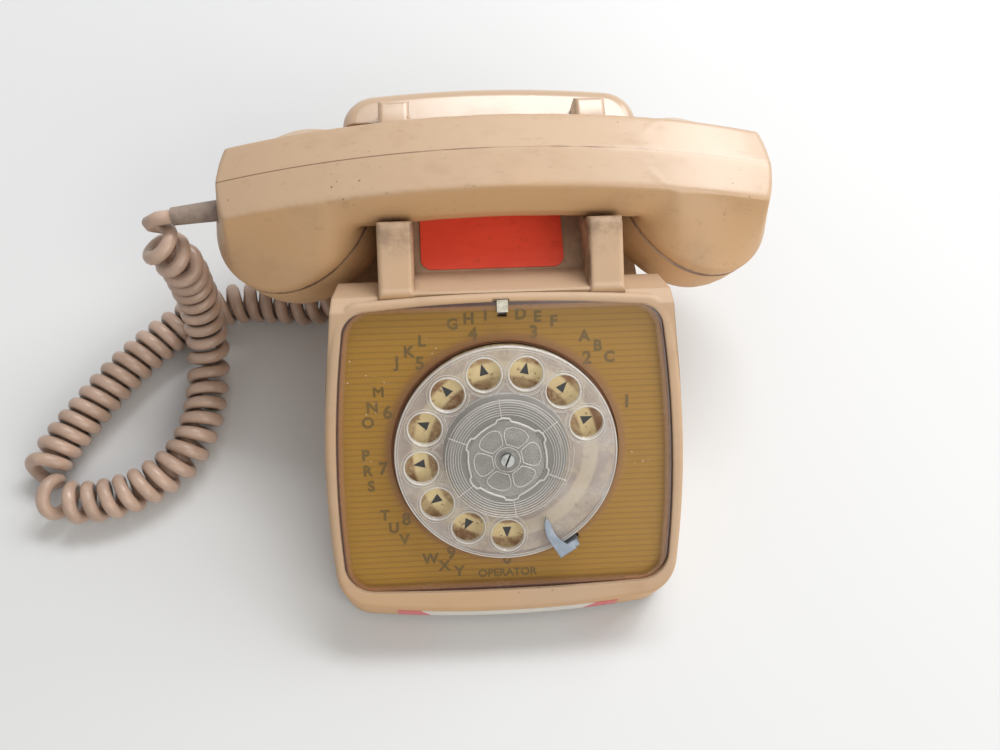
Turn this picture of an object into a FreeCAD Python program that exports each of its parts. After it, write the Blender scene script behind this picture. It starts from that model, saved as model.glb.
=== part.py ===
import FreeCAD, Part
import math
import os

# A desk telephone with a rotary dial: housing, clear amber faceplate, dial with its gear train and
# governor, handset on its cradle, hook switch, ringer and the curly cord of the handset.
# Millimetres, +Z up, front towards -Y. The origin is on the table, under the middle of the telephone.

V = FreeCAD.Vector
X = V(1, 0, 0)
Y = V(0, 1, 0)
Z = V(0, 0, 1)
SIDES = (-1, 1)

# Clearances
move_gap = 0.3
seat_gap = 0.15
mesh_slack = 0.09

# Housing, seen from above
front_y = -105.0
rear_y = 105.0
front_bow = 509.0
rear_bow = 460.0
widest_half = 71.4
widest_y = -60.0
side_bow = 262.0
waist_join_y = -18.0
waist_bow = 526.0
front_corner_radius = 13.5
bezel_corner_radius = 11.5
rear_corner_radius = 14.0
wall = 2.6

# Housing, seen from the side
foot_height = 4.4
face_slope = 35.0
face_y = -48.7
face_z = 60.7
lip_height = 1.6
bezel_rear_y = 4.4
bezel_rear_bow = 900.0
shoulder_top = 95.5
shoulder_fall = 45.0
pocket_front_y = 16.2
pocket_floor = 50.0
pocket_rear_y = 84.0
deck_height = 88.0
deck_front_y = 86.8
lip_round = 2.2
deck_round = 6.0

# Cradle
rail_outer = 47.0
column_half = 43.6
rail_inner = 33.4
ledge_front_z = 97.2
ledge_front_y = 5.0
scoop_floor = 84.0
scoop_front_y = 19.6
scoop_rear_y = 78.0
post_foot_y = 6.2
post_foot_z = 98.2
post_top = 107.0
post_front_y = 27.5
post_back_y = 30.5
saddle_front_y = 33.2
saddle_height = 96.2
saddle_rear_y = 75.0
ear_top = 101.5
ear_back_y = 88.0
ear_foot_y = 91.0
ear_outer = 46.0
ear_inner = 33.4
column_foot_y = -10.0
column_foot_z = 70.0
column_knee_y = 4.0
rail_round = 2.0

# Faceplate, in the sloped frame of the face: u to the right, v up the slope, w out of the face
plate_half_middle = 66.95
plate_middle_v = -18.0
plate_top_half = 60.4
plate_top_corner_v = 57.3
plate_top_v = 60.7
plate_bottom_half = 65.2
plate_bottom_corner_v = -57.1
plate_bottom_v = -59.1
plate_top_radius = 10.0
plate_bottom_radius = 12.0
plate_thickness = 2.5
card_gap = 0.2
card_thickness = 1.0
ledge_width = 4.0
ledge_thickness = 2.2
frame_wall = 2.2
plate_hole_radius = 45.3

# Latch of the faceplate
latch_u = -0.3
latch_width = 4.3
latch_length = 4.9
latch_thickness = 0.8
latch_travel = 2.4
latch_neck_width = 3.0
latch_neck_depth = 1.2
latch_inset = 0.4
latch_notch_side = 1.3
latch_tail = 2.0

# Finger wheel
wheel_radius = 44.0
wheel_under_w = 1.8
wheel_thickness = 2.2
hole_count = 10
hole_circle = 33.8
hole_radius = 6.4
hole_first_angle = 20.8
hole_step = 27.66
dome_radius = 24.7
dome_height = 5.0
dome_wall = 2.2
hub_radius = 7.0
recess_radius = 15.0
recess_depth = 2.2
rosette_radius = 13.0
rosette_lobe = 3.4
rosette_lobes = 6
rosette_thickness = 0.8
cap_gap = 0.2
cap_dome = 1.6
screw_head_radius = 2.6
screw_head_height = 1.4
screw_shank_radius = 1.2
screw_slot = 0.7

# Number plate and arrowheads
number_plate_radius = 43.6
number_plate_w = -2.2
number_plate_thickness = 1.0
collar_outer = 32.0
collar_inner = 27.0
arrow_radius = 34.8
arrow_length = 4.6
arrow_width = 3.6
arrow_raise = 0.15

# Dial mechanism, from front to back
frame_radius = 41.5
frame_w = -6.5
frame_thickness = 1.5
bridge_w = -25.5
bridge_thickness = 1.5
bridge_radius = 40.0
pillar_radius = 2.6
pillar_circle = 36.5
pillar_angles = (95.0, 215.0, 5.0)
shaft_radius = 3.0
module = 0.7
main_teeth = 65
pinion_teeth = 10
second_teeth = 32
train_angle = -60.0
gear_thickness = 2.0
main_gear_w = -11.0
second_gear_w = -14.0
second_gear_thickness = 1.5
arbor_radius = 1.5
governor_arbor_radius = 1.2
governor_distance = 27.5
cam_radius = 5.2
cam_flat = 3.2
cam_thickness = 1.0
cam_w = -8.4
cam_clearance = 0.4
contact_left = -14.0
contact_length = 11.0
contact_front_v = -26.2
contact_depth = 6.8
contact_height = 8.5
cup_radius = 9.5
cup_wall = 0.8
cup_w = -23.9
cup_height = 7.4
weight_size = 3.2
spring_inner = 4.2
spring_outer = 14.5
spring_strip = 0.5
spring_width = 5.0
spring_w = -21.5
spring_turns = 5

# Finger stop
stop_w = 5.0
stop_thickness = 1.3
stop_leg_radius = 46.9
stop_angle = -58.3

# Dial bracket
bracket_thickness = 1.5
bracket_ring_inner = 30.0
bracket_ring_outer = 44.0
bracket_leg_x = 44.5
bracket_leg_front_y = -70.0
bracket_leg_rear_y = -28.0
bracket_foot = 9.0
dial_screw_radius = 1.25
dial_screw_length = 6.0

# Base
base_thickness = 1.4
base_gap = 0.4
boss_radius = 4.5
boss_spots = ((-58.0, -90.0), (58.0, -90.0), (-46.0, 93.0), (46.0, 93.0))
base_screw_radius = 1.6
base_screw_length = 12.0
base_screw_head = 3.2
foot_radius = 8.0
foot_neck = 2.4
foot_head = 3.6
foot_spots = ((-50.0, -74.0), (50.0, -74.0), (-48.0, 76.0), (48.0, 76.0))

# Labels
label_half_width = 46.0
label_bottom = 6.5
label_height = 12.5
label_thickness = 0.25
card_left = -30.8
card_right = 26.2
card_front_y = 20.7
card_rear_y = 53.0
card_corner = 4.5
red_card_thickness = 0.5

# Handset, lying along X
handset_x = 0.8
handset_y = 53.6
handset_yaw = 0.6
grip_rise = 3.8
arch_radius = 333.0
grip_ridge_half = 15.9
grip_ridge_drop = 1.6
grip_belt_half = 19.8
grip_belt_drop = 14.0
grip_bottom_half = 18.9
grip_depth = 19.6
grip_wall = 3.0
bowl_x = 82.5
bowl_drop = 43.1
bowl_tilt = 24.0
bowl_radius = 36.0
bowl_wall = 3.0
bowl_collar = 4.0
bowl_outer_arc = 42.0
bowl_inner_arc = 112.0
head_inner_x = 68.0
head_corner_x = 106.8
head_bulge = 3.1
head_inner_bulge = 14.0
seam_bevel = 0.5
cap_height = 20.0
cap_inner_radius = 26.0
cap_curve = ((0.2, 0.4), (0.8, 0.63), (1.8, 0.8), (3.6, 0.915), (7.0, 0.98))
cap_wall = 2.6
sleeve_height = 4.2
sleeve_wall = 2.4
cup_plate = 1.6
unit_radius = 25.5
unit_height = 15.0
lift_travel = 100.0

# Cords and their reliefs
cord_diameter = 5.8
curl_outer = 18.8
curl_pitch = 6.75
curl_gap = 0.55
curl_lead = 12.0
curl_lead_base = 6.0
relief_length = 17.4
relief_radius = 4.2
relief_tip_radius = 3.6
relief_seat = 5.0
handset_cord_x = 111.0
handset_cord_y = 47.7
relief_rise = 11.5
handset_cord_drift = -7.0
base_cord_exit = V(-60.5, 40.0, 12.4)
base_relief_length = 3.5
line_inlet_x = 22.0
line_inlet_z = 15.0
line_inlet_radius = 3.0
line_inlet_rim = 5.0

# Hook switch
plunger_radius = 1.9
plunger_x = 38.7
plunger_travel = 5.0
plunger_flange = 2.5
plunger_bottom = 78.6
plunger_y = 54.0
hook_pin_y = 33.0
hook_pin_z = 77.2
hook_pin_radius = 1.5
hook_plate_z = 71.5
hook_plate_thickness = 1.5
hook_plate_half = 26.0
hook_ear_x = 24.0
lever_thickness = 1.5
lever_z = 76.6
pad_end_y = 57.0
pad_half_width = 2.3
hook_boss_radius = 4.0
hook_boss_x = 14.0
hook_boss_y = 61.0
contact_blades = 4

# Ringer
gong_radius = 25.0
gong_height = 13.0
gong_wall = 1.4
gong_x = 31.0
gong_y = 61.0
gong_bottom = 20.0
gong_post_radius = 3.0
ringer_thickness = 1.4
ball_radius = 3.2
clapper_swing = 4.0
clapper_pivot_y = 31.0
clapper_z = 26.5
clapper_pin_radius = 1.2
armature_half = 17.0
coil_y = 10.0
coil_radius = 9.0
coil_half = 16.0
core_radius = 3.0
pole_gap = 1.7
volume_x = 52.0
volume_y = 18.0
volume_z = 10.0
volume_radius = 8.4
volume_width = 4.0
ringer_half = 45.0
ringer_front_y = 0.0
ringer_rear_y = 72.0
clapper_post_x = 9.0

# Network block
network_half = 37.0
network_front_y = -42.0
network_rear_y = -9.0
network_top = 25.0
terminal_radius = 2.0
terminal_count = 6

# Frames
face_frame = FreeCAD.Placement(V(0, face_y, face_z), FreeCAD.Rotation(X, face_slope))
table_base = foot_height
base_top = table_base + base_thickness


def box(x0, x1, y0, y1, z0, z1):
    return Part.makeBox(x1 - x0, y1 - y0, z1 - z0, V(x0, y0, z0))


def rod(radius, start, along, length):
    return Part.makeCylinder(radius, length, start, along)


def tube(outer, inner, start, along, length):
    return rod(outer, start, along, length).cut(rod(inner, start, along, length))


def cone(radius_start, radius_end, start, along, length):
    return Part.makeCone(radius_start, radius_end, length, start, along)


def join(shapes):
    return shapes[0].multiFuse(shapes[1:]).removeSplitter()


def plan(a, b):
    return V(a, b, 0)


def side(a, b):
    return V(0, a, b)


def outline(plane, start, steps):
    """A closed face. A step is a corner (a, b), or an arc ((a, b) on the way, (a, b) at its end)."""
    here = plane(*start)
    first = here
    edges = []
    for step in steps:
        if isinstance(step[0], tuple):
            through = plane(*step[0])
            there = plane(*step[1])
            edges.append(Part.Arc(here, through, there).toShape())
        else:
            there = plane(*step)
            edges.append(Part.LineSegment(here, there).toShape())
        here = there
    if here.distanceToPoint(first) > 1e-6:
        edges.append(Part.LineSegment(here, first).toShape())
    return Part.Face(Part.Wire(edges))


def polygon(plane, points):
    return outline(plane, points[0], points[1:])


def turned(points, centre, axis):
    """Revolves a closed outline of (radius, height) points about an axis through centre."""
    face = polygon(lambda r, h: V(r, 0, h), points)
    shape = face.revolve(V(0, 0, 0), Z, 360)
    shape.Placement = FreeCAD.Placement(centre, FreeCAD.Rotation(Z, axis))
    return shape


def on_face(shape):
    """Moves a shape from the sloped frame of the face to its place in the telephone."""
    moved = shape.copy()
    moved.Placement = face_frame.multiply(moved.Placement)
    return moved


def face_point(u, v, w):
    return face_frame.multVec(V(u, v, w))


def polar(radius, degrees, w):
    angle = math.radians(degrees)
    return V(radius * math.cos(angle), radius * math.sin(angle), w)


def edges_where(shape, test):
    """The edges whose ends and middle all pass a test on their points."""
    chosen = []
    for edge in shape.Edges:
        first, last = edge.ParameterRange
        points = [edge.valueAt(first + (last - first) * part / 4) for part in range(5)]
        if all(test(point) for point in points):
            chosen.append(edge)
    return chosen


def export(name, shape):
    solids = shape.Solids
    if not shape.isValid() or not solids:
        print("INVALID", name)
    shape = solids[0] if len(solids) == 1 else Part.makeCompound(solids)
    shape.exportStep(os.path.join("parts", name + ".step"))
    print(name, "solids", len(solids), "volume", round(shape.Volume, 1))
    return shape


# Outlines made of bowed sides
def bow(middle, outward, radius):
    """A side through middle that bulges outward with a radius: its centre and signed radius."""
    return (middle - outward * radius, radius)


def corner_centre(first, second, radius, near):
    """Centre of the round corner of a radius inside two bowed sides."""
    (a, ra), (b, rb) = first, second
    ra = abs(ra - radius)
    rb = abs(rb - radius)
    span = (b - a).Length
    along = (b - a) / span
    share = (ra * ra - rb * rb + span * span) / (2 * span)
    rise = math.sqrt(ra * ra - share * share)
    across = V(-along.y, along.x, 0)
    options = [a + along * share + across * (rise * sign) for sign in SIDES]
    return min(options, key=near.distanceToPoint)


def ring(sides, corners, inset):
    """A closed outline of bowed sides, moved inwards all round by inset.
    corners[k] joins side k to side k+1: (a point near it, radius), or radius 0 for a smooth join."""
    centres = []
    for index, (near, radius) in enumerate(corners):
        following = sides[(index + 1) % len(sides)]
        centres.append(near if radius == 0 else corner_centre(sides[index], following, radius, near))

    def touch(side_index, corner_index):
        centre, radius = sides[side_index]
        return centre + (centres[corner_index] - centre).normalize() * abs(radius - inset)

    def arc(centre, start, end):
        middle = ((start - centre).normalize() + (end - centre).normalize()).normalize()
        return Part.Arc(start, centre + middle * (start - centre).Length, end).toShape()

    edges = []
    for index, (near, radius) in enumerate(corners):
        start = touch(index, index - 1)
        end = touch(index, index)
        edges.append(arc(sides[index][0], start, end))
        if radius:
            edges.append(arc(centres[index], end, touch((index + 1) % len(sides), index)))
    return Part.Face(Part.Wire(edges))


def upright(face, bottom, top):
    prism = face.extrude(V(0, 0, top - bottom))
    prism.translate(V(0, 0, bottom))
    return prism


def mirrored(side):
    centre, radius = side
    return (V(-centre.x, centre.y, 0), radius)


def smooth_join(side, y):
    """The point of a bowed side on the right at a height y of the outline."""
    centre, radius = side
    return V(centre.x + math.sqrt(radius ** 2 - (y - centre.y) ** 2), y, 0)


front_side = bow(V(0, front_y, 0), V(0, -1, 0), front_bow)
rear_side = bow(V(0, rear_y, 0), V(0, 1, 0), rear_bow)
bezel_rear_side = bow(V(0, bezel_rear_y, 0), V(0, 1, 0), bezel_rear_bow)
right_side = bow(V(widest_half, widest_y, 0), V(1, 0, 0), side_bow)
waist_join = smooth_join(right_side, waist_join_y)
right_waist = (waist_join + (waist_join - right_side[0]).normalize() * waist_bow, -waist_bow)


def full_outline(inset):
    left_join = V(-waist_join.x, waist_join.y, 0)
    sides = [front_side, right_side, right_waist, rear_side, mirrored(right_waist), mirrored(right_side)]
    corners = [(V(60, front_y, 0), front_corner_radius), (waist_join, 0), (V(55, rear_y, 0), rear_corner_radius),
               (V(-55, rear_y, 0), rear_corner_radius), (left_join, 0), (V(-60, front_y, 0), front_corner_radius)]
    return ring(sides, corners, inset)


def bezel_outline(inset):
    sides = [front_side, right_side, bezel_rear_side, mirrored(right_side)]
    corners = [(V(60, front_y, 0), front_corner_radius), (V(55, 0, 0), bezel_corner_radius),
               (V(-55, 0, 0), bezel_corner_radius), (V(-60, front_y, 0), front_corner_radius)]
    return ring(sides, corners, inset)


# Housing
slope_rise = math.tan(math.radians(face_slope))


def lip_z(y, inset):
    """Height of the lip round the face at a depth y."""
    point = face_point(0, 0, lip_height - inset)
    return point.z + (y - point.y) * slope_rise


def front_block(inset, bottom):
    """The front of the body, cut off by the sloped face."""
    prism = upright(bezel_outline(inset), bottom, 130)
    reach = 1.5 * rear_y
    below = slab(polygon(side, [
        (-reach, -reach), (-reach, lip_z(-reach, inset)), (reach, lip_z(reach, inset)), (reach, -reach),
    ]), -90, 90)
    return prism.common(below)


shoulder_foot_z = shoulder_top - (pocket_front_y - bezel_rear_y) * math.tan(math.radians(shoulder_fall))


def rear_block(inset, bottom):
    """The body behind the face: the shoulder, the pockets for the bowls and the rear deck."""
    reach = 1.5 * rear_y
    face = polygon(side, [
        (widest_y, -reach), (widest_y, 50), (-2, shoulder_top), (bezel_rear_y, shoulder_top),
        (pocket_front_y, shoulder_foot_z), (pocket_front_y, pocket_floor), (pocket_rear_y, pocket_floor),
        (deck_front_y, deck_height),
        (reach, deck_height), (reach, -reach),
    ])
    if inset:
        face = face.makeOffset2D(-inset)
    return upright(full_outline(inset), bottom, 130).common(slab(face, -90, 90))


def column(inset):
    """The ledge between the rails, where the red card lies."""
    face = polygon(side, [
        (column_foot_y, foot_height), (column_foot_y, column_foot_z), (column_knee_y, ledge_front_z),
        (ledge_front_y, ledge_front_z),
        (scoop_front_y, scoop_floor), (scoop_rear_y, scoop_floor), (deck_front_y - 3, deck_height),
        (deck_front_y + 6, deck_height), (deck_front_y + 6, foot_height),
    ])
    if inset:
        face = face.makeOffset2D(-inset)
    return slab(face, inset - column_half, column_half - inset)


def post(sign, inset):
    """The upright in front of the grip."""
    face = polygon(side, [
        (column_foot_y, foot_height), (column_foot_y, column_foot_z), (column_knee_y, post_foot_z),
        (post_foot_y, post_foot_z), (post_front_y, post_top), (post_back_y, post_top),
        (saddle_front_y, saddle_height), (saddle_front_y, foot_height),
    ])
    return upright_of_cradle(face, sign, rail_inner, rail_outer, inset)


def saddle(sign, inset):
    """The rail between post and ear that the grip lies over."""
    front = saddle_front_y - 2 * wall - 1
    face = polygon(side, [
        (front, foot_height), (front, saddle_height), (saddle_rear_y + 1, saddle_height),
        (saddle_rear_y + 1, foot_height),
    ])
    return upright_of_cradle(face, sign, rail_inner, column_half, inset)


def ear(sign, inset):
    """The small upright behind the grip, at the rear end of a rail."""
    face = polygon(side, [
        (saddle_rear_y - 1, foot_height), (saddle_rear_y - 1, saddle_height), (saddle_rear_y, saddle_height),
        (saddle_rear_y + 1.5, ear_top), (ear_back_y, ear_top), (ear_foot_y, deck_height - 0.5),
        (ear_foot_y, foot_height),
    ])
    return upright_of_cradle(face, sign, ear_inner, ear_outer, inset)


def upright_of_cradle(face, sign, inner, outer, inset):
    if inset:
        face = face.makeOffset2D(-inset)
    near = min(sign * (inner + inset), sign * (outer - inset))
    far = max(sign * (inner + inset), sign * (outer - inset))
    shape = slab(face, near, far)
    rounded = edges_where(shape, lambda p: p.z > saddle_height + 0.5)
    return shape if inset or not rounded else shape.makeFillet(rail_round, rounded)


def slab(face, x0, x1):
    shape = face.extrude(V(x1 - x0, 0, 0))
    shape.translate(V(x0, 0, 0))
    return shape


def pillow(grow, w0, w1):
    """The outline of the faceplate, grown all round, between two heights above the face."""
    def side_through(a, b, c):
        circle = Part.Arc(V(*a, 0), V(*b, 0), V(*c, 0)).toShape().Curve
        return (circle.Center, circle.Radius)

    right = side_through((plate_bottom_half, plate_bottom_corner_v), (plate_half_middle, plate_middle_v),
                         (plate_top_half, plate_top_corner_v))
    top = side_through((plate_top_half, plate_top_corner_v), (0, plate_top_v), (-plate_top_half, plate_top_corner_v))
    bottom = side_through((-plate_bottom_half, plate_bottom_corner_v), (0, plate_bottom_v),
                          (plate_bottom_half, plate_bottom_corner_v))
    low = (V(plate_bottom_half, plate_bottom_corner_v, 0), plate_bottom_radius)
    high = (V(plate_top_half, plate_top_corner_v, 0), plate_top_radius)
    left_high = (V(-plate_top_half, plate_top_corner_v, 0), plate_top_radius)
    left_low = (V(-plate_bottom_half, plate_bottom_corner_v, 0), plate_bottom_radius)
    face = ring([bottom, right, top, mirrored(right)], [low, high, left_high, left_low], -grow)
    return upright(face, w0, w1)


ledge_w = -plate_thickness - card_gap - card_thickness
ledge_under_w = ledge_w - ledge_thickness


latch_neck_v = plate_top_v - latch_inset


def latch_slot():
    """The notch in the top edge of the faceplate and in the ledge under it, where the latch slides."""
    return box(latch_u - latch_neck_width / 2 - move_gap, latch_u + latch_neck_width / 2 + move_gap,
               plate_top_v - ledge_width - latch_travel, latch_neck_v + latch_neck_depth + move_gap,
               ledge_under_w - 3, lip_height + 5)


def latch_notch():
    """The notch in the lip behind the upper end of the latch, wider on its left."""
    return box(latch_u - latch_width / 2 - move_gap - latch_notch_side, latch_u + latch_width / 2 + move_gap,
               plate_top_v - 1, latch_neck_v + latch_neck_depth + move_gap, 0, lip_height + 5)


def latch_room():
    """The room under the ledge where the tail of the latch slides."""
    return box(latch_u - latch_width - move_gap, latch_u + latch_width + move_gap,
               latch_neck_v - latch_travel - move_gap,
               latch_neck_v + latch_neck_depth + latch_tail + move_gap,
               ledge_under_w - latch_thickness - 2 * move_gap, ledge_under_w)


def make_housing():
    front = front_block(0, table_base)
    normal = face_frame.Rotation.multVec(Z)
    lip_edges = edges_where(front, lambda p: abs((p - face_point(0, 0, lip_height)).dot(normal)) < 0.02)
    front = front.makeFillet(lip_round, lip_edges)
    rear = rear_block(0, table_base)
    deck_edges = edges_where(rear, lambda p: abs(p.z - deck_height) < 0.02 and p.y > deck_front_y + 2)
    rear = rear.makeFillet(deck_round, deck_edges)
    blocks = [front, rear, column(0)]
    hollows = [front_block(wall, 0), rear_block(wall, 0), column(wall)]
    for sign in SIDES:
        for piece in (post, saddle, ear):
            blocks.append(piece(sign, 0))
            hollows.append(piece(sign, wall))
    shell = join(blocks)
    for hollow in hollows:
        shell = shell.cut(hollow)
    inside = join([front_block(wall / 2, base_top), rear_block(wall / 2, base_top)])
    for x, y in boss_spots:
        shell = shell.fuse(rod(boss_radius, V(x, y, base_top), Z, deck_height).common(inside))
        shell = shell.cut(rod(base_screw_radius, V(x, y, base_top - 1), Z, base_screw_length + 1))
    shell = shell.fuse(on_face(pillow(frame_wall + seat_gap, ledge_under_w, lip_height - 1)))
    shell = shell.cut(on_face(pillow(seat_gap, ledge_w, lip_height + 10)))
    shell = shell.cut(on_face(pillow(-ledge_width, ledge_under_w - 10, ledge_w + 1)))
    hook_boss_bottom = hook_plate_z + hook_plate_thickness
    for sign in SIDES:
        boss = rod(hook_boss_radius, V(sign * hook_boss_x, hook_boss_y, hook_boss_bottom), Z,
                   scoop_floor - wall / 2 - hook_boss_bottom)
        shell = shell.fuse(boss)
        shell = shell.cut(rod(base_screw_radius, V(sign * hook_boss_x, hook_boss_y, hook_boss_bottom - 1), Z, 7))
        bore = V(sign * plunger_x, plunger_y, scoop_floor - wall - 1)
        shell = shell.cut(rod(plunger_flange + move_gap, bore, Z, saddle_height - wall - bore.z))
        shell = shell.cut(rod(plunger_radius + move_gap, bore, Z, saddle_height + 1 - bore.z))
    shell = shell.cut(on_face(latch_slot()))
    shell = shell.cut(on_face(latch_room()))
    shell = shell.cut(on_face(latch_notch()))
    shell = shell.cut(rod(relief_tip_radius + 0.2 + seat_gap, base_cord_exit - X * 8, X, 16))
    shell = shell.cut(rod(line_inlet_rim, V(line_inlet_x, rear_y - 8, line_inlet_z), Y, 12))
    return shell.removeSplitter()


export("housing", make_housing())


# Faceplate, its card and its latch
def stop_notch(grow, w0, w1):
    """The notch in the rim of the opening that the leg of the finger stop passes through."""
    notch = box(stop_leg_radius - 6, stop_leg_radius + stop_thickness / 2 + grow, -4.6 - grow, 4.6 + grow, w0, w1)
    return notch.rotate(V(0, 0, 0), Z, stop_angle)


def plate_with_opening(w0, w1, grow):
    plate = pillow(grow, w0, w1)
    plate = plate.cut(rod(plate_hole_radius, V(0, 0, w0 - 1), Z, w1 - w0 + 2))
    plate = plate.cut(stop_notch(0.6, w0 - 1, w1 + 1))
    return plate.cut(latch_slot())


def make_latch():
    plate = box(latch_u - latch_width / 2, latch_u + latch_width / 2,
                latch_neck_v + latch_neck_depth - latch_length, latch_neck_v + latch_neck_depth,
                move_gap, move_gap + latch_thickness)
    neck = box(latch_u - latch_neck_width / 2, latch_u + latch_neck_width / 2,
               latch_neck_v, latch_neck_v + latch_neck_depth,
               ledge_under_w - move_gap - latch_thickness, move_gap + latch_thickness)
    tail = box(latch_u - latch_width, latch_u + latch_width,
               latch_neck_v, latch_neck_v + latch_neck_depth + latch_tail,
               ledge_under_w - move_gap - latch_thickness, ledge_under_w - move_gap)
    return join([plate, neck, tail])


export("faceplate", on_face(plate_with_opening(-plate_thickness, 0, 0)))
export("faceplate_card", on_face(plate_with_opening(ledge_w, ledge_w + card_thickness, 0)))
export("faceplate_latch", on_face(make_latch()))


# Dial: number plate, finger wheel and what fastens it
def hole_angle(index):
    return hole_first_angle + hole_step * index


def make_number_plate():
    plate = tube(number_plate_radius, hub_radius + 1, V(0, 0, number_plate_w), Z, number_plate_thickness)
    top = number_plate_w + number_plate_thickness
    arrows = []
    for index in range(hole_count):
        half = arrow_length / 2
        face = polygon(plan, [(arrow_radius + half, 0), (arrow_radius - half, arrow_width / 2),
                              (arrow_radius - half, -arrow_width / 2)])
        arrow = face.extrude(V(0, 0, arrow_raise))
        arrow.translate(V(0, 0, top))
        arrows.append(arrow.rotate(V(0, 0, 0), Z, hole_angle(index)))
    return plate, Part.makeCompound(arrows)


wheel_top_w = wheel_under_w + wheel_thickness
dome_top_w = wheel_top_w + dome_height
recess_w = dome_top_w - recess_depth


def make_finger_wheel():
    rim = 0.6
    wheel = turned([
        (shaft_radius, number_plate_w + 1.5), (hub_radius, number_plate_w + 1.5), (hub_radius, recess_w - dome_wall),
        (dome_radius - dome_wall - 1, recess_w - dome_wall), (dome_radius - dome_wall, wheel_under_w),
        (wheel_radius, wheel_under_w), (wheel_radius, wheel_top_w - rim), (wheel_radius - rim, wheel_top_w),
        (dome_radius + 1, wheel_top_w), (dome_radius - 1, dome_top_w - 0.6), (dome_radius - 2, dome_top_w),
        (recess_radius, dome_top_w - 0.4), (recess_radius, recess_w), (shaft_radius, recess_w),
    ], V(0, 0, 0), Z)
    for index in range(hole_count):
        centre = polar(hole_circle, hole_angle(index), wheel_under_w - 1)
        wheel = wheel.cut(rod(hole_radius, centre, Z, wheel_thickness + 2))
        bevel = polar(hole_circle, hole_angle(index), wheel_top_w - 0.7)
        wheel = wheel.cut(cone(hole_radius, hole_radius + 0.8, bevel, Z, 0.8))
    return wheel


def make_rosette():
    shape = rod(rosette_radius - rosette_lobe, V(0, 0, recess_w), Z, rosette_thickness)
    lobes = [shape]
    for index in range(rosette_lobes):
        centre = polar(rosette_radius - rosette_lobe, index * 360 / rosette_lobes, recess_w)
        lobes.append(rod(rosette_lobe, centre, Z, rosette_thickness))
    return join(lobes).cut(rod(screw_shank_radius, V(0, 0, recess_w - 1), Z, 3))


cap_w = recess_w + rosette_thickness
screw_head_w = cap_w + cap_dome


def make_centre_cap():
    radius = recess_radius - cap_gap
    return turned([
        (screw_shank_radius, cap_w), (radius, cap_w), (radius, cap_w + 0.6), (radius * 0.6, cap_w + 1.3),
        (screw_head_radius + 0.4, cap_w + cap_dome), (screw_shank_radius, cap_w + cap_dome),
    ], V(0, 0, 0), Z)


def make_centre_screw():
    head = rod(screw_head_radius, V(0, 0, screw_head_w), Z, screw_head_height)
    shank = rod(screw_shank_radius, V(0, 0, recess_w - 6), Z, screw_head_w - recess_w + 6)
    slot = box(-screw_head_radius, screw_head_radius, -screw_slot / 2, screw_slot / 2,
               screw_head_w + screw_head_height - 0.6, screw_head_w + screw_head_height + 1)
    return join([head, shank]).cut(slot.rotate(V(0, 0, 0), Z, 68))


def make_dial_shaft():
    shaft = rod(shaft_radius, V(0, 0, bridge_w - 1), Z, recess_w - bridge_w + 1)
    return shaft.cut(rod(screw_shank_radius, V(0, 0, recess_w - 6), Z, 7))


number_plate, arrows = make_number_plate()
export("number_plate", on_face(number_plate))
export("number_arrows", on_face(arrows))
export("finger_wheel", on_face(make_finger_wheel()))
export("centre_rosette", on_face(make_rosette()))
export("centre_cap", on_face(make_centre_cap()))
export("centre_screw", on_face(make_centre_screw()))
export("dial_shaft", on_face(make_dial_shaft()))


# Dial: frame plates, gear train, governor, springs
pinion_radius = pinion_teeth * module / 2
main_radius = main_teeth * module / 2
second_radius = second_teeth * module / 2
train_distance = main_radius + pinion_radius
governor_reach = second_radius + pinion_radius


def governor_angle():
    """Direction of the governor from the dial shaft, from the three sides of the gear train's triangle."""
    cosine = (train_distance ** 2 + governor_distance ** 2 - governor_reach ** 2)
    cosine /= 2 * train_distance * governor_distance
    return train_angle + math.degrees(math.acos(cosine))


second_centre = polar(train_distance, train_angle, 0)
governor_centre = polar(governor_distance, governor_angle(), 0)


def direction(a, b):
    return math.degrees(math.atan2(b.y - a.y, b.x - a.x))


def gear(teeth, tooth_direction, thickness):
    """A spur gear with involute flanks at w 0, one tooth pointing along tooth_direction in degrees."""
    pitch = teeth * module / 2
    base = pitch * math.cos(math.radians(20))
    tip = pitch + 0.85 * module
    root = pitch - 1.1 * module
    half_at_pitch = (math.pi / 2 - mesh_slack * 2 / module) / teeth
    involute = math.tan(math.radians(20)) - math.radians(20)

    def half_angle(radius):
        if radius <= base:
            return half_at_pitch + involute
        pressure = math.acos(base / radius)
        return half_at_pitch + involute - (math.tan(pressure) - pressure)

    radii = [root, max(base, root + 0.01), pitch, tip]
    points = []
    for index in range(teeth):
        middle = math.radians(tooth_direction) + 2 * math.pi * index / teeth
        for radius in radii:
            angle = middle - half_angle(radius)
            points.append((radius * math.cos(angle), radius * math.sin(angle)))
        for radius in reversed(radii):
            angle = middle + half_angle(radius)
            points.append((radius * math.cos(angle), radius * math.sin(angle)))
    return polygon(plan, points).extrude(V(0, 0, thickness))


def at_w(shape, centre, w):
    shape.translate(V(centre.x, centre.y, w))
    return shape


def make_main_gear():
    wheel = at_w(gear(main_teeth, train_angle, gear_thickness), V(0, 0, 0), main_gear_w)
    for index in range(5):
        centre = polar(main_radius * 0.62, index * 72 + 20, main_gear_w - 1)
        wheel = wheel.cut(rod(4.2, centre, Z, gear_thickness + 2))
    hub = rod(shaft_radius + 2.2, V(0, 0, main_gear_w - 1.5), Z, gear_thickness + 2.5)
    return join([wheel, hub]).cut(rod(shaft_radius, V(0, 0, main_gear_w - 5), Z, 10))


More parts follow.
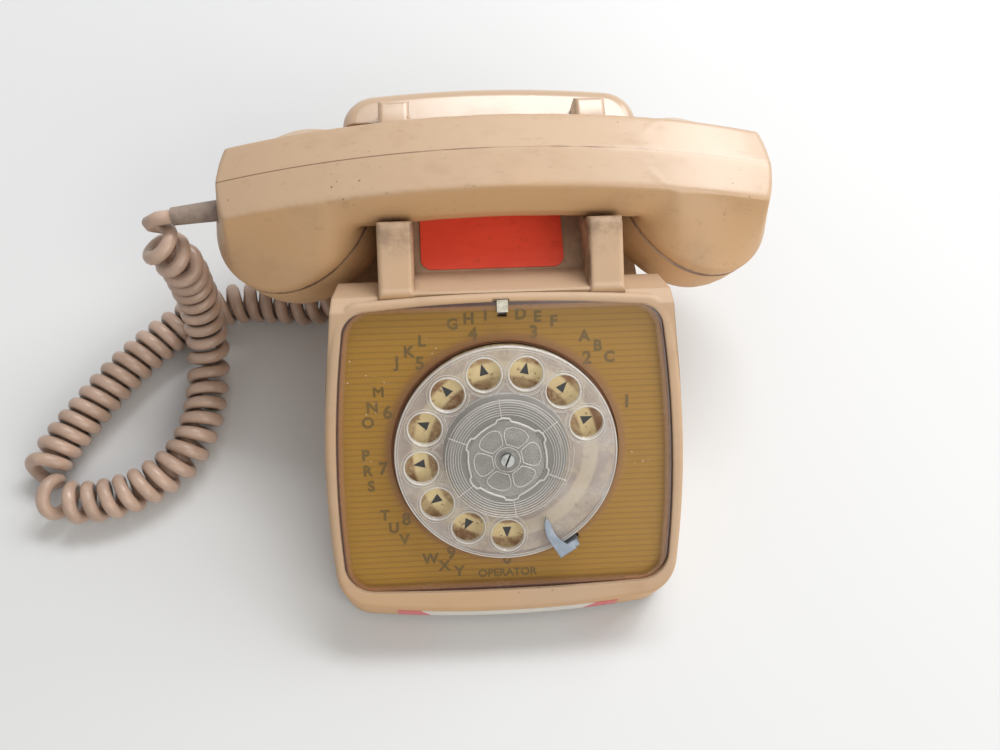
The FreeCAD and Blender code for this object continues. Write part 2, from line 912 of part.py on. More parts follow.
def make_intermediate():
    toward_main = direction(second_centre, V(0, 0, 0))
    toward_governor = direction(second_centre, governor_centre)
    pinion = at_w(gear(pinion_teeth, toward_main + 180 / pinion_teeth, gear_thickness + 1),
                  second_centre, main_gear_w - 0.5)
    wheel = at_w(gear(second_teeth, toward_governor, second_gear_thickness), second_centre, second_gear_w)
    spacer = rod(arbor_radius + 1, second_centre + Z * (second_gear_w + 0.5), Z,
                 main_gear_w - second_gear_w)
    arbor = rod(arbor_radius, second_centre + Z * bridge_w, Z, frame_w + frame_thickness - bridge_w)
    return join([pinion, wheel, spacer, arbor])


def make_cam():
    disc = rod(cam_radius, second_centre + Z * cam_w, Z, cam_thickness)
    band = box(-cam_radius, cam_radius, -cam_flat, cam_flat, cam_w, cam_w + cam_thickness)
    band = band.rotate(V(0, 0, 0), Z, train_angle)
    band.translate(V(second_centre.x, second_centre.y, 0))
    return disc.common(band).cut(rod(arbor_radius, second_centre + Z * (cam_w - 1), Z, cam_thickness + 2))


def make_governor_shaft():
    toward_second = direction(governor_centre, second_centre)
    pinion = at_w(gear(pinion_teeth, toward_second + 180 / pinion_teeth, second_gear_thickness + 0.6),
                  governor_centre, second_gear_w - 0.3)
    arbor = rod(governor_arbor_radius, governor_centre + Z * bridge_w, Z, frame_w + frame_thickness - bridge_w)
    bar = box(-5.2, 5.2, -0.6, 0.6, cup_w + 5.2, cup_w + 6.2)
    bar.translate(V(governor_centre.x, governor_centre.y, 0))
    return join([pinion, arbor, bar])


def make_governor_weights():
    weights = []
    for sign in SIDES:
        weight = box(sign * 6.6 - weight_size / 2, sign * 6.6 + weight_size / 2, -2.4, 2.4,
                     cup_w + 2.2, cup_w + 5.2)
        weight = weight.common(rod(cup_radius - cup_wall - 0.5, V(0, 0, cup_w), Z, 20))
        weight.translate(V(governor_centre.x, governor_centre.y, 0))
        weights.append(weight)
    return Part.makeCompound(weights)


def make_governor_cup():
    start = governor_centre + Z * (bridge_w + bridge_thickness)
    cup = rod(cup_radius, start, Z, cup_height)
    cup = cup.cut(rod(cup_radius - cup_wall, start + Z * cup_wall, Z, cup_height))
    return cup.cut(rod(governor_arbor_radius + move_gap, start - Z, Z, 4))


def pivot_holes(plate, w):
    plate = plate.cut(rod(shaft_radius + move_gap, V(0, 0, w - 1), Z, 4))
    plate = plate.cut(rod(arbor_radius + move_gap, second_centre + Z * (w - 1), Z, 4))
    return plate.cut(rod(governor_arbor_radius + move_gap, governor_centre + Z * (w - 1), Z, 4))


def make_dial_frame():
    plate = rod(frame_radius, V(0, 0, frame_w), Z, frame_thickness)
    collar = tube(collar_outer, collar_inner, V(0, 0, frame_w), Z, number_plate_w - frame_w)
    tab = box(0, stop_leg_radius + 2, -5.2, 5.2, frame_w, frame_w + frame_thickness)
    parts = [plate, collar, tab.rotate(V(0, 0, 0), Z, stop_angle)]
    for angle in pillar_angles:
        parts.append(rod(pillar_radius, polar(pillar_circle, angle, bridge_w + bridge_thickness), Z,
                         frame_w - bridge_w - bridge_thickness + 0.5))
    frame = pivot_holes(join(parts), frame_w)
    for angle in pillar_angles:
        start = polar(pillar_circle, angle, bridge_w)
        frame = frame.cut(rod(dial_screw_radius, start, Z, dial_screw_length))
    return frame


def make_dial_bridge():
    plate = pivot_holes(rod(bridge_radius, V(0, 0, bridge_w), Z, bridge_thickness), bridge_w)
    for angle in pillar_angles:
        plate = plate.cut(rod(dial_screw_radius, polar(pillar_circle, angle, bridge_w - 1), Z, 4))
    return plate


def make_dial_screws():
    screws = []
    for angle in pillar_angles:
        head_top = polar(pillar_circle, angle, bridge_w - bracket_thickness)
        head = rod(dial_screw_radius * 2, head_top - Z * 1.5, Z, 1.5)
        shank = rod(dial_screw_radius, head_top, Z, dial_screw_length + bracket_thickness)
        slot = box(-4, 4, -0.35, 0.35, -1.6, -1.0)
        slot.translate(head_top)
        screws.append(join([head, shank]).cut(slot))
    return Part.makeCompound(screws)


def make_mainspring():
    """A flat spiral strip round the shaft, from its hub out to the hook on the rear plate."""
    steps = 16
    count = spring_turns * steps
    outer_side = []
    inner_side = []
    for index in range(count + 1):
        share = index / count
        radius = spring_inner + (spring_outer - spring_inner) * share
        angle = 2 * math.pi * spring_turns * share
        outer_side.append(((radius + spring_strip / 2) * math.cos(angle),
                           (radius + spring_strip / 2) * math.sin(angle)))
        inner_side.append(((radius - spring_strip / 2) * math.cos(angle),
                           (radius - spring_strip / 2) * math.sin(angle)))
    strip = polygon(plan, outer_side + inner_side[::-1]).extrude(V(0, 0, spring_width))
    return at_w(strip, V(0, 0, 0), spring_w)


def make_pulse_contacts():
    top = frame_w
    parts = [box(contact_left, contact_left + contact_length, contact_front_v - contact_depth, contact_front_v,
                 top - contact_height, top)]
    for index in range(3):
        v = second_centre.y - cam_radius - cam_clearance - 0.3 - index * 1.7
        parts.append(box(contact_left + contact_length - 0.1, second_centre.x + 1, v, v + 0.3, cam_w - 0.3, cam_w + 1.1))
    return join(parts)


def make_finger_stop():
    hook = outline(plan, (27.6, -39.6), [
        ((21.0, -36.2), (17.0, -29.0)), (15.0, -26.4), ((14.6, -31.0), (15.4, -34.6)), (20.9, -43.9),
    ])
    blade = hook.extrude(V(0, 0, stop_thickness))
    blade.translate(V(0, 0, stop_w))
    inner = stop_leg_radius - stop_thickness / 2
    arm = box(inner - 1.5, inner + stop_thickness, -4.2, 4.2, stop_w, stop_w + stop_thickness)
    leg = box(inner, inner + stop_thickness, -4.2, 4.2, frame_w + frame_thickness, stop_w + stop_thickness)
    turned_parts = [part.rotate(V(0, 0, 0), Z, stop_angle) for part in (arm, leg)]
    return join([blade] + turned_parts)


export("main_gear", on_face(make_main_gear()))
export("intermediate_gear", on_face(make_intermediate()))
export("pulse_cam", on_face(make_cam()))
export("governor_shaft", on_face(make_governor_shaft()))
export("governor_weights", on_face(make_governor_weights()))
export("governor_cup", on_face(make_governor_cup()))
export("dial_frame", on_face(make_dial_frame()))
export("dial_bridge", on_face(make_dial_bridge()))
export("dial_screws", on_face(make_dial_screws()))
export("mainspring", on_face(make_mainspring()))
export("pulse_contacts", on_face(make_pulse_contacts()))
export("finger_stop", on_face(make_finger_stop()))


# Dial bracket: a sloped ring carried by two legs that stand on the base plate
def make_dial_bracket():
    ring_w = bridge_w - bracket_thickness
    ring = tube(bracket_ring_outer, bracket_ring_inner, V(0, 0, ring_w), Z, bracket_thickness)
    for angle in pillar_angles:
        ring = ring.cut(rod(dial_screw_radius, polar(pillar_circle, angle, ring_w - 1), Z, 4))
    parts = [on_face(ring)]
    rise = math.tan(math.radians(face_slope))
    top_of_ring = face_point(0, 0, bridge_w)
    for sign in SIDES:
        inner = sign * bracket_leg_x
        outer = sign * (bracket_leg_x + bracket_thickness)
        low = min(inner, outer)
        front_top = top_of_ring.z + (bracket_leg_front_y + 12 - top_of_ring.y) * rise
        rear_top = top_of_ring.z + (bracket_leg_rear_y - top_of_ring.y) * rise
        leg = slab(polygon(side, [
            (bracket_leg_front_y + 12, base_top), (bracket_leg_front_y + 12, front_top),
            (bracket_leg_rear_y, rear_top), (bracket_leg_rear_y, base_top),
        ]), low, low + bracket_thickness)
        foot_far = sign * (bracket_leg_x + bracket_foot)
        foot = box(min(inner, foot_far), max(inner, foot_far), bracket_leg_front_y + 12, bracket_leg_rear_y,
                   base_top, base_top + bracket_thickness)
        arm_near = sign * (bracket_ring_inner + 8)
        arm = box(min(arm_near, outer), max(arm_near, outer), -8, 12, ring_w, bridge_w)
        parts += [leg, foot, on_face(arm)]
    return join(parts)


export("dial_bracket", make_dial_bracket())


# Base plate, feet and screws
def make_base_plate():
    plate = upright(full_outline(wall + base_gap), table_base, base_top)
    for x, y in boss_spots:
        plate = plate.cut(rod(base_screw_radius, V(x, y, 0), Z, 10))
    for x, y in foot_spots:
        plate = plate.cut(rod(foot_neck, V(x, y, 0), Z, 10))
    slot = box(volume_x - volume_width / 2 - 1, volume_x + volume_width / 2 + 1,
               volume_y - volume_radius - 0.5, volume_y + volume_radius + 0.5, 0, 10)
    return plate.cut(slot)


def make_base_screws():
    screws = []
    for x, y in boss_spots:
        head = rod(base_screw_head, V(x, y, table_base - 1.6), Z, 1.6)
        shank = rod(base_screw_radius, V(x, y, table_base), Z, base_screw_length)
        slot = box(x - 5, x + 5, y - 0.4, y + 0.4, table_base - 2, table_base - 1)
        screws.append(join([head, shank]).cut(slot))
    return Part.makeCompound(screws)


def make_feet():
    feet = []
    for x, y in foot_spots:
        pad = cone(foot_radius - 1, foot_radius, V(x, y, 0), Z, foot_height)
        neck = rod(foot_neck, V(x, y, 0), Z, base_top)
        head = rod(foot_head, V(x, y, base_top), Z, 1.6)
        feet.append(join([pad, neck, head]))
    return Part.makeCompound(feet)


export("base_plate", make_base_plate())
export("base_screws", make_base_screws())
export("rubber_feet", make_feet())


# Label on the front wall and the red card on the ledge
def make_front_label():
    skin = upright(bezel_outline(-label_thickness), label_bottom, label_bottom + label_height)
    skin = skin.cut(upright(bezel_outline(0), label_bottom - 1, label_bottom + label_height + 1))
    return skin.common(box(-label_half_width, label_half_width, front_y - 5, front_y + 12, 0, 40))


def make_number_card():
    card = box(card_left, card_right, card_front_y, card_rear_y, scoop_floor, scoop_floor + red_card_thickness)
    sides = [edge for edge in card.Edges if abs(edge.tangentAt(edge.FirstParameter).z) > 0.9]
    return card.makeFillet(card_corner, sides)


export("front_label", make_front_label())
export("number_card", make_number_card())


# Handset
grip_top = saddle_height + grip_depth + grip_rise
arch_centre_z = grip_top - arch_radius
bowl_z = grip_top - bowl_drop
handset_cord_exit = V(-handset_cord_x, handset_cord_y, bowl_z + relief_rise)
exit_turn = math.radians(handset_cord_drift)
relief_direction = V(-math.cos(exit_turn), math.sin(exit_turn), 0)


def as_laid(shape):
    """Moves a shape of the handset to where it lies in the cradle, a little to the right and slightly slanted."""
    centre = V(0, handset_y, 0)
    laid = FreeCAD.Placement(V(handset_x, 0, 0), FreeCAD.Rotation(Z, handset_yaw), centre)
    moved = shape.copy()
    moved.Placement = laid.multiply(moved.Placement)
    return moved


def grip_section(inset):
    """Section of the grip at its middle: two roof facets, two flanks and a narrower underside."""
    top = grip_top - inset
    points = [
        (handset_y, top), (handset_y + grip_ridge_half - inset, top - grip_ridge_drop),
        (handset_y + grip_belt_half - inset, grip_top - grip_belt_drop),
        (handset_y + grip_bottom_half - inset, grip_top - grip_depth + inset),
        (handset_y - grip_bottom_half + inset, grip_top - grip_depth + inset),
        (handset_y - grip_belt_half + inset, grip_top - grip_belt_drop),
        (handset_y - grip_ridge_half + inset, top - grip_ridge_drop),
    ]
    return polygon(side, points)


def grip_arch(inset, half_angle):
    centre = V(0, handset_y, arch_centre_z)
    face = grip_section(inset)
    face.rotate(centre, Y, -half_angle)
    return face.revolve(centre, Y, 2 * half_angle)


def blunt_ends(inset):
    """The room that the grip fills: each end is an arc in plan."""
    end = head_corner_x + head_bulge - inset
    reach = (grip_ridge_half ** 2 + head_bulge ** 2) / (2 * head_bulge)
    room = box(reach - end, end - reach, handset_y - reach, handset_y + reach, 0, grip_top + 1)
    for sign in SIDES:
        room = room.fuse(rod(reach, V(sign * (end - reach), handset_y, 0), Z, grip_top + 1))
    return room


def grip(inset):
    end_angle = math.degrees(math.asin((head_corner_x + head_bulge) / (arch_radius - grip_depth)))
    return grip_arch(inset, end_angle + 1).common(blunt_ends(inset))


def bowl_axis(sign):
    lean = math.radians(bowl_tilt)
    return V(-sign * math.sin(lean), 0, -math.cos(lean))


def ridge_point(x, y, inset):
    """The point of the bent edge of the roof at x."""
    ridge_radius = arch_radius - grip_ridge_drop - inset
    return V(x, handset_y + y, arch_centre_z + math.sqrt(ridge_radius ** 2 - x ** 2))


def four_sided(corners, middles):
    """A closed wire through four corners: arcs through the middles, and a line where there is none."""
    edges = []
    for index, middle in enumerate(middles):
        start, end = corners[index], corners[(index + 1) % 4]
        edges.append(Part.Arc(start, middle, end).toShape() if middle else Part.makeLine(start, end))
    return Part.Wire(edges)


def bowl_solid(sign, inset, collar):
    """A bowl: a round collar at the seam, which narrows upward to the roof of the grip."""
    up = bowl_axis(1) * -1
    outward = V(up.z, 0, -up.x)
    seam = V(bowl_x, handset_y, bowl_z)
    rim_centre = seam + up * collar

    def rim(degrees):
        turn = math.radians(degrees)
        return rim_centre + (outward * math.cos(turn) + Y * math.sin(turn)) * (bowl_radius - inset)

    rear = (bowl_outer_arc + bowl_inner_arc) / 2
    rim_wire = four_sided([rim(-bowl_outer_arc), rim(bowl_outer_arc), rim(bowl_inner_arc), rim(-bowl_inner_arc)],
                          [rim(0), rim(rear), rim(180), rim(-rear)])
    inner_x = head_inner_x + inset
    outer_x = head_corner_x - inset
    half = grip_ridge_half - inset
    corners = [ridge_point(outer_x, -half, inset), ridge_point(outer_x, half, inset),
               ridge_point(inner_x, half, inset), ridge_point(inner_x, -half, inset)]
    along = (corners[1] - corners[2]).normalize()
    outer_middle = (corners[0] + corners[1]) * 0.5 + along * head_bulge
    inner_middle = (corners[2] + corners[3]) * 0.5 - along * head_inner_bulge
    head_wire = four_sided(corners, [outer_middle, None, inner_middle, None])
    parts = [rod(bowl_radius - inset, seam, up, collar), Part.makeLoft([rim_wire, head_wire], True, True)]
    return parts if sign > 0 else [part.mirror(V(0, 0, 0), X) for part in parts]


def make_handset_shell():
    parts = [grip(0)]
    hollows = [grip(grip_wall)]
    for sign in SIDES:
        parts += bowl_solid(sign, 0, bowl_collar)
        hollows += bowl_solid(sign, bowl_wall, sleeve_height + cup_plate + seat_gap)
    shell = join(parts)
    for shape in hollows:
        shell = shell.cut(shape)
    for sign in SIDES:
        shell = shell.cut(rod(bowl_radius + 2, V(sign * bowl_x, handset_y, bowl_z), bowl_axis(sign), 60))
    return as_laid(shell).cut(rod(relief_radius + seat_gap, handset_cord_exit - relief_direction * 8,
                                  relief_direction, 20))


def cap_place(shape, sign):
    """Turns a shape made round Z, with the seam at z 0 and the cap below, into its place on a bowl."""
    moved = shape.copy()
    turn = FreeCAD.Rotation(Y, sign * bowl_tilt)
    moved.Placement = FreeCAD.Placement(V(sign * bowl_x, handset_y, bowl_z), turn).multiply(moved.Placement)
    return as_laid(moved)


def make_cap(rings):
    """A screw cap. rings lists (circle radius, hole count, hole radius) for the holes in its face."""
    bore = bowl_radius - bowl_wall - seat_gap
    inside = -cap_height + cap_wall
    outer = [(bowl_radius - less, -cap_height * share) for less, share in cap_curve]
    cap = turned([
        (bore - sleeve_wall, sleeve_height), (bore, sleeve_height), (bore, 0), (bowl_radius - seam_bevel, 0),
        (bowl_radius, -seam_bevel),
    ] + outer + [
        (0, -cap_height), (0, inside), (cap_inner_radius, inside + 0.5), (bore - sleeve_wall, inside + 4),
    ], V(0, 0, 0), Z)
    for circle, count, radius in rings:
        for index in range(count):
            centre = polar(circle, 360 * index / count, -cap_height - 2)
            cap = cap.cut(rod(radius, centre, Z, cap_wall + 4))
    return cap


def make_unit(domed):
    floor = -cap_height + cap_wall + 1.2
    height = unit_height
    return turned([
        (0, floor), (unit_radius * 0.72, floor), (unit_radius, floor + 1.6), (unit_radius, floor + height - 2),
        (unit_radius - 3, floor + height), (domed, floor + height), (domed * 0.6, floor + height + 3),
        (0, floor + height + 3),
    ], V(0, 0, 0), Z)


def make_contact_cup():
    disc = rod(bowl_radius - bowl_wall - seat_gap, V(0, 0, sleeve_height), Z, cup_plate)
    disc = disc.common(rod(bowl_radius - bowl_wall - 1.2, V(0, 0, 0), Z, 20))
    contacts = [disc]
    for angle in (0, 180):
        contacts.append(box(8, 18, -2, 2, 3.0, sleeve_height + 0.2).rotate(V(0, 0, 0), Z, angle))
    return join(contacts)


export("handset_shell", make_handset_shell())
export("transmitter_cap", cap_place(make_cap([(8, 6, 1.3), (15, 12, 1.3)]), -1))
export("receiver_cap", cap_place(make_cap([(7, 6, 1.6)]), 1))
export("transmitter_unit", cap_place(make_unit(14), -1))
export("receiver_unit", cap_place(make_unit(18), 1))
export("contact_cup", cap_place(make_contact_cup(), -1))


# Strain reliefs and the inlet for the line cord
def make_relief(start, along, length, inside):
    sleeve = cone(relief_radius, relief_tip_radius, start, along, length)
    root = rod(relief_radius, start - along * inside, along, inside)
    return join([sleeve, root])


handset_relief_tip = handset_cord_exit + relief_direction * relief_length
base_relief_tip = base_cord_exit - X * base_relief_length


def make_base_relief():
    sleeve = rod(relief_tip_radius + 0.2, base_relief_tip, X, base_relief_length + 3)
    wall_x = base_cord_exit.x + 3
    flange = box(wall_x - 0.2, wall_x + 1.4, base_cord_exit.y - 5, base_cord_exit.y + 5,
                 base_cord_exit.z - 5, base_cord_exit.z + 5)
    return join([sleeve, flange])


def make_line_inlet():
    outer = rod(line_inlet_rim, V(line_inlet_x, rear_y - wall - 2.6, line_inlet_z), Y, wall + 1.8)
    flange = rod(line_inlet_rim + 1.6, V(line_inlet_x, rear_y - wall - 2.6, line_inlet_z), Y, 1.2)
    return join([outer, flange]).cut(rod(line_inlet_radius, V(line_inlet_x, rear_y - 10, line_inlet_z), Y, 20))


export("handset_relief", make_relief(handset_cord_exit, relief_direction, relief_length, relief_seat))
export("base_relief", make_base_relief())
export("line_inlet", make_line_inlet())


# Curly cord
curl_radius = (curl_outer - cord_diameter) / 2
floor_z = curl_outer / 2 + 0.35
cord_route = [
    handset_relief_tip, handset_relief_tip + relief_direction * 8 + V(0, -0.5, -1.5),
    V(-138.0, 41.5, 83.0), V(-134.5, 38.2, 75.5), V(-131.0, 37.0, 68.0), V(-129.9, 36.6, 60.0),
    V(-130.2, 35.7, 48.0), V(-129.2, 32.4, 37.0), V(-129.0, 26.9, 27.0), V(-129.0, 20.4, 19.0),
    V(-129.6, 14.2, 13.4), V(-130.1, 7.0, 10.4), V(-130.6, -2.1, floor_z), V(-131.5, -10.4, floor_z),
    V(-133.4, -18.5, floor_z), V(-136.5, -25.8, floor_z), V(-141.0, -32.5, floor_z),
    V(-146.7, -37.7, floor_z), V(-153.4, -41.9, floor_z), V(-159.6, -45.2, floor_z),
    V(-166.9, -47.5, floor_z), V(-174.3, -48.9, floor_z), V(-181.8, -49.5, floor_z),
    V(-189.3, -48.6, floor_z), V(-195.9, -45.6, floor_z), V(-199.4, -40.6, floor_z),
    V(-199.2, -35.0, floor_z), V(-196.9, -29.4, floor_z), V(-193.2, -23.2, floor_z),
    V(-188.8, -16.6, floor_z), V(-183.9, -9.9, floor_z), V(-179.0, -3.1, floor_z),
    V(-173.7, 3.6, floor_z), V(-167.9, 10.4, floor_z), V(-161.6, 17.1, floor_z),
    V(-154.8, 23.7, floor_z), V(-147.3, 29.8, floor_z), V(-139.6, 35.1, floor_z),
    V(-132.2, 39.3, floor_z), V(-124.2, 42.1, floor_z), V(-116.0, 43.1, floor_z),
    V(-106.9, 42.9, floor_z), V(-97.6, 41.8, floor_z), V(-88.3, 40.6, floor_z),
    base_relief_tip - X * 8, base_relief_tip,
]


def route_samples(points, count):
    """Evenly stepped places, directions and sideways directions along a smooth curve through points."""
    curve = Part.BSplineCurve()
    curve.interpolate(points)
    spots = curve.discretize(Number=count)
    samples = []
    sideways = None
    for index, spot in enumerate(spots):
        before = spots[max(index - 1, 0)]
        after = spots[min(index + 1, count - 1)]
        ahead = (after - before).normalize()
        if sideways is None:
            sideways = ahead.cross(Z).normalize()
        sideways = (sideways - ahead * sideways.dot(ahead)).normalize()
        samples.append((spot, ahead, sideways))
    return samples, curve.length()


def smooth(share):
    share = min(max(share, 0), 1)
    return share * share * (3 - 2 * share)


def curl_phases(samples, length):
    """The turn reached at each sample. Curls spread where the route bends, so that they keep apart."""
    step = length / (len(samples) - 1)
    bends = [(b[1] - a[1]).Length / step for a, b in zip(samples, samples[1:])]
    near = int(curl_pitch / 2 / step)
    phase = 0.0
    phases = [0.0]
    for index in range(1, len(samples)):
        here = index * step
        bend = max(bends[max(index - near, 0):index + near])
        room = max(1 - curl_radius * bend, 0.35)
        pitch = max(curl_pitch, (cord_diameter + curl_gap) / room)
        ends = smooth(here / curl_lead) * smooth((length - here) / curl_lead_base)
        phase += 2 * math.pi * step / pitch * max(ends, 0.12)
        phases.append(phase)
    return phases


def curl_points(samples, length, phases, parts_per_turn):
    """Points and directions of the wire's middle line at equal parts of a turn."""
    turns = round(phases[-1] / (2 * math.pi) * parts_per_turn)
    scale = turns * 2 * math.pi / parts_per_turn / phases[-1]
    step = length / (len(samples) - 1)

    def place(index, share):
        spot, ahead, across = samples[index]
        spot_next, ahead_next, across_next = samples[min(index + 1, len(samples) - 1)]
        middle = spot + (spot_next - spot) * share
        across = (across + (across_next - across) * share).normalize()
        up = (ahead + (ahead_next - ahead) * share).normalize().cross(across)
        here = (index + share) * step
        reach = curl_radius * smooth(here / curl_lead) * smooth((length - here) / curl_lead_base)
        following = phases[min(index + 1, len(samples) - 1)]
        angle = (phases[index] + (following - phases[index]) * share) * scale
        return middle + across * (reach * math.cos(angle)) + up * (reach * math.sin(angle))

    points = []
    index = 0
    for part in range(turns + 1):
        wanted = part * 2 * math.pi / parts_per_turn
        while index < len(samples) - 2 and phases[index + 1] * scale < wanted - 1e-9:
            index += 1
        gap = (phases[index + 1] - phases[index]) * scale
        share = min(max((wanted - phases[index] * scale) / gap, 0), 1)
        here = place(index, share)
        nudge = 0.02
        back = place(index, max(share - nudge, 0))
        front = place(index, min(share + nudge, 1))
        points.append((here, (front - back).normalize()))
    return points


def arc_between(start, ahead, end):
    """A circular arc from start, leaving along ahead, to end."""
    chord = end - start
    half = chord.Length / 2
    along = chord / chord.Length
    side_part = ahead - along * ahead.dot(along)
    if side_part.Length < 1e-4:
        return Part.LineSegment(start, end).toShape()
    turn = math.atan2(side_part.Length, ahead.dot(along))
    middle = (start + end) / 2 + side_part.normalize() * (half * math.tan(turn / 2))
    return Part.Arc(start, middle, end).toShape()


def biarc(start, start_ahead, end, end_ahead):
    """Two arcs that join smoothly, from one place and direction to another."""
    chord = end - start
    total = start_ahead + end_ahead
    spread = 2 * (1 - start_ahead.dot(end_ahead))
    lean = chord.dot(total)
    if spread < 1e-6:
        reach = chord.dot(chord) / (4 * chord.dot(end_ahead))
    else:
        reach = (-lean + math.sqrt(lean * lean + spread * chord.dot(chord))) / spread
    knee_start = start + start_ahead * reach
    knee_end = end - end_ahead * reach
    middle = (knee_start + knee_end) / 2
    first = arc_between(start, start_ahead, middle)
    middle_ahead = (knee_end - knee_start).normalize()
    second = arc_between(middle, middle_ahead, end)
    return [first, second]


def wire_of(points, lead_in, lead_out):
    """One unbroken path: a straight end, biarcs through the points, a straight end."""
    start, start_ahead = points[0]
    end, end_ahead = points[-1]
    edges = [Part.LineSegment(start - start_ahead * lead_in, start).toShape()]
    for (a, a_ahead), (b, b_ahead) in zip(points, points[1:]):
        edges += biarc(a, a_ahead, b, b_ahead)
    edges.append(Part.LineSegment(end, end + end_ahead * lead_out).toShape())
    return Part.Wire(edges)


def least_gap(path, turn_length, diameter):
    """Least distance between turns of a path, skin to skin, from points along it."""
    spots = path.discretize(Distance=turn_length / 24)
    step = path.Length / (len(spots) - 1)
    skip = int(turn_length * 0.6 / step)
    least = 1e9
    for index, spot in enumerate(spots):
        for other in range(index + skip, len(spots)):
            span = abs(spots[other].x - spot.x)
            if span < least + diameter:
                least = min(least, spots[other].distanceToPoint(spot) - diameter)
    return least


def make_handset_cord():
    straight = cord_diameter
    inner_route = list(cord_route)
    inner_route[0] = cord_route[0] + relief_direction * straight
    inner_route[1] = inner_route[0] + relief_direction * 3 + V(0, -0.5, -1.0)
    inner_route[-1] = cord_route[-1] - X * straight
    inner_route[-2] = inner_route[-1] - X * 5
    samples, length = route_samples(inner_route, 1600)
    phases = curl_phases(samples, length)
    points = curl_points(samples, length, phases, 2)
    points[0] = (inner_route[0], relief_direction)
    points[-1] = (inner_route[-1], X)
    path = wire_of(points, straight, straight)
    start, ahead = points[0]
    section = Part.Wire(Part.Circle(start - ahead * straight, ahead, cord_diameter / 2).toShape())
    cord = path.makePipeShell([section], True, False)
    turn_length = 2 * math.pi * curl_radius
    print("curls", round(len(points) / 2, 1), "route", round(length, 1), "wire length", round(path.Length, 1))
    print("least gap between curls", round(least_gap(path, turn_length, cord_diameter), 2))
    print("cord volume over section times length",
          round(cord.Volume / (math.pi * cord_diameter ** 2 / 4 * path.Length), 4))
    return cord


export("handset_cord", make_handset_cord())


# Hook switch: plungers, lever on its pin, bracket under the ledge, contact springs, return spring
def make_plunger(sign):
    """A plunger whose top stands just under the grip."""
    start = V(sign * plunger_x, plunger_y, plunger_bottom)
    reach = abs(sign * plunger_x - handset_x) + plunger_radius
    under_arch = arch_radius - grip_depth
    grip_under = grip_top - arch_radius + math.sqrt(under_arch ** 2 - reach ** 2)
    stem = rod(plunger_radius, start, Z, grip_under - seat_gap - plunger_bottom)
    flange = rod(plunger_flange, start + Z * 8, Z, 1.4)
    return join([stem, flange])


def make_hook_lever():
    bar = box(-plunger_x - pad_half_width, plunger_x + pad_half_width, hook_pin_y + 5, hook_pin_y + 9,
              lever_z, lever_z + lever_thickness)
    parts = [bar]
    for sign in SIDES:
        parts.append(box(sign * plunger_x - pad_half_width, sign * plunger_x + pad_half_width,
                         hook_pin_y + 8, pad_end_y, lever_z, lever_z + lever_thickness))
        tab_x = sign * (hook_ear_x - 3)
        parts.append(box(tab_x - 0.75, tab_x + 0.75, hook_pin_y - 3, hook_pin_y + 6,
                         hook_pin_z - 2.5, hook_pin_z + 2.2))
    lever = join(parts)
    return lever.cut(rod(hook_pin_radius + move_gap, V(-30, hook_pin_y, hook_pin_z), X, 60))


def make_hook_bracket():
    top = hook_plate_z + hook_plate_thickness
    parts = [box(-hook_plate_half, hook_plate_half, hook_pin_y - 4, hook_boss_y + 8, hook_plate_z, top)]
    for sign in SIDES:
        ear_x = sign * hook_ear_x
        parts.append(box(ear_x - 0.75, ear_x + 0.75, hook_pin_y - 4, hook_pin_y + 3.5,
                         hook_plate_z, hook_pin_z + 3))
    bracket = join(parts)
    for sign in SIDES:
        bracket = bracket.cut(rod(base_screw_radius, V(sign * hook_boss_x, hook_boss_y, 60), Z, 20))
    return bracket.cut(rod(hook_pin_radius, V(-30, hook_pin_y, hook_pin_z), X, 60))


def make_hook_screws():
    screws = []
    for sign in SIDES:
        centre = V(sign * hook_boss_x, hook_boss_y, hook_plate_z)
        screws.append(join([rod(base_screw_head, centre - Z * 1.6, Z, 1.6), rod(base_screw_radius, centre, Z, 6)]))
    return Part.makeCompound(screws)


def make_hook_contacts():
    parts = [box(-8, 8, hook_pin_y + 10, hook_pin_y + 20, hook_plate_z - 9, hook_plate_z)]
    for index in range(contact_blades):
        z = hook_plate_z - 8 + index * 2
        parts.append(box(-6, 6, hook_pin_y + 19.5, hook_boss_y + 10, z, z + 0.4))
    return join(parts)


def helix_tube(base, radius, wire_radius, turns, height):
    """A small compression spring standing on base."""
    points = []
    for part in range(turns * 4 + 1):
        angle = math.pi / 2 * part
        place = V(radius * math.cos(angle), radius * math.sin(angle), height * part / (turns * 4))
        ahead = V(-radius * math.sin(angle), radius * math.cos(angle), height / turns / (2 * math.pi))
        points.append((base + place, ahead.normalize()))
    edges = []
    for (a, a_ahead), (b, b_ahead) in zip(points, points[1:]):
        edges += biarc(a, a_ahead, b, b_ahead)
    start, ahead = points[0]
    section = Part.Wire(Part.Circle(start, ahead, wire_radius).toShape())
    return Part.Wire(edges).makePipeShell([section], True, False)


hook_spring_wire = 0.25
hook_spring_base = V(0, hook_pin_y + 7, hook_plate_z + hook_plate_thickness + hook_spring_wire + 0.1)
hook_spring_height = lever_z - hook_spring_base.z - hook_spring_wire - 0.1

for sign, name in ((-1, "plunger_left"), (1, "plunger_right")):
    export(name, make_plunger(sign))
export("hook_lever", make_hook_lever())
export("hook_pin", rod(hook_pin_radius, V(-hook_ear_x - 2, hook_pin_y, hook_pin_z), X, 2 * hook_ear_x + 4))
export("hook_bracket", make_hook_bracket())
export("hook_bracket_screws", make_hook_screws())
export("hook_contacts", make_hook_contacts())
export("hook_spring", helix_tube(hook_spring_base, 1.8, hook_spring_wire, 3, hook_spring_height))


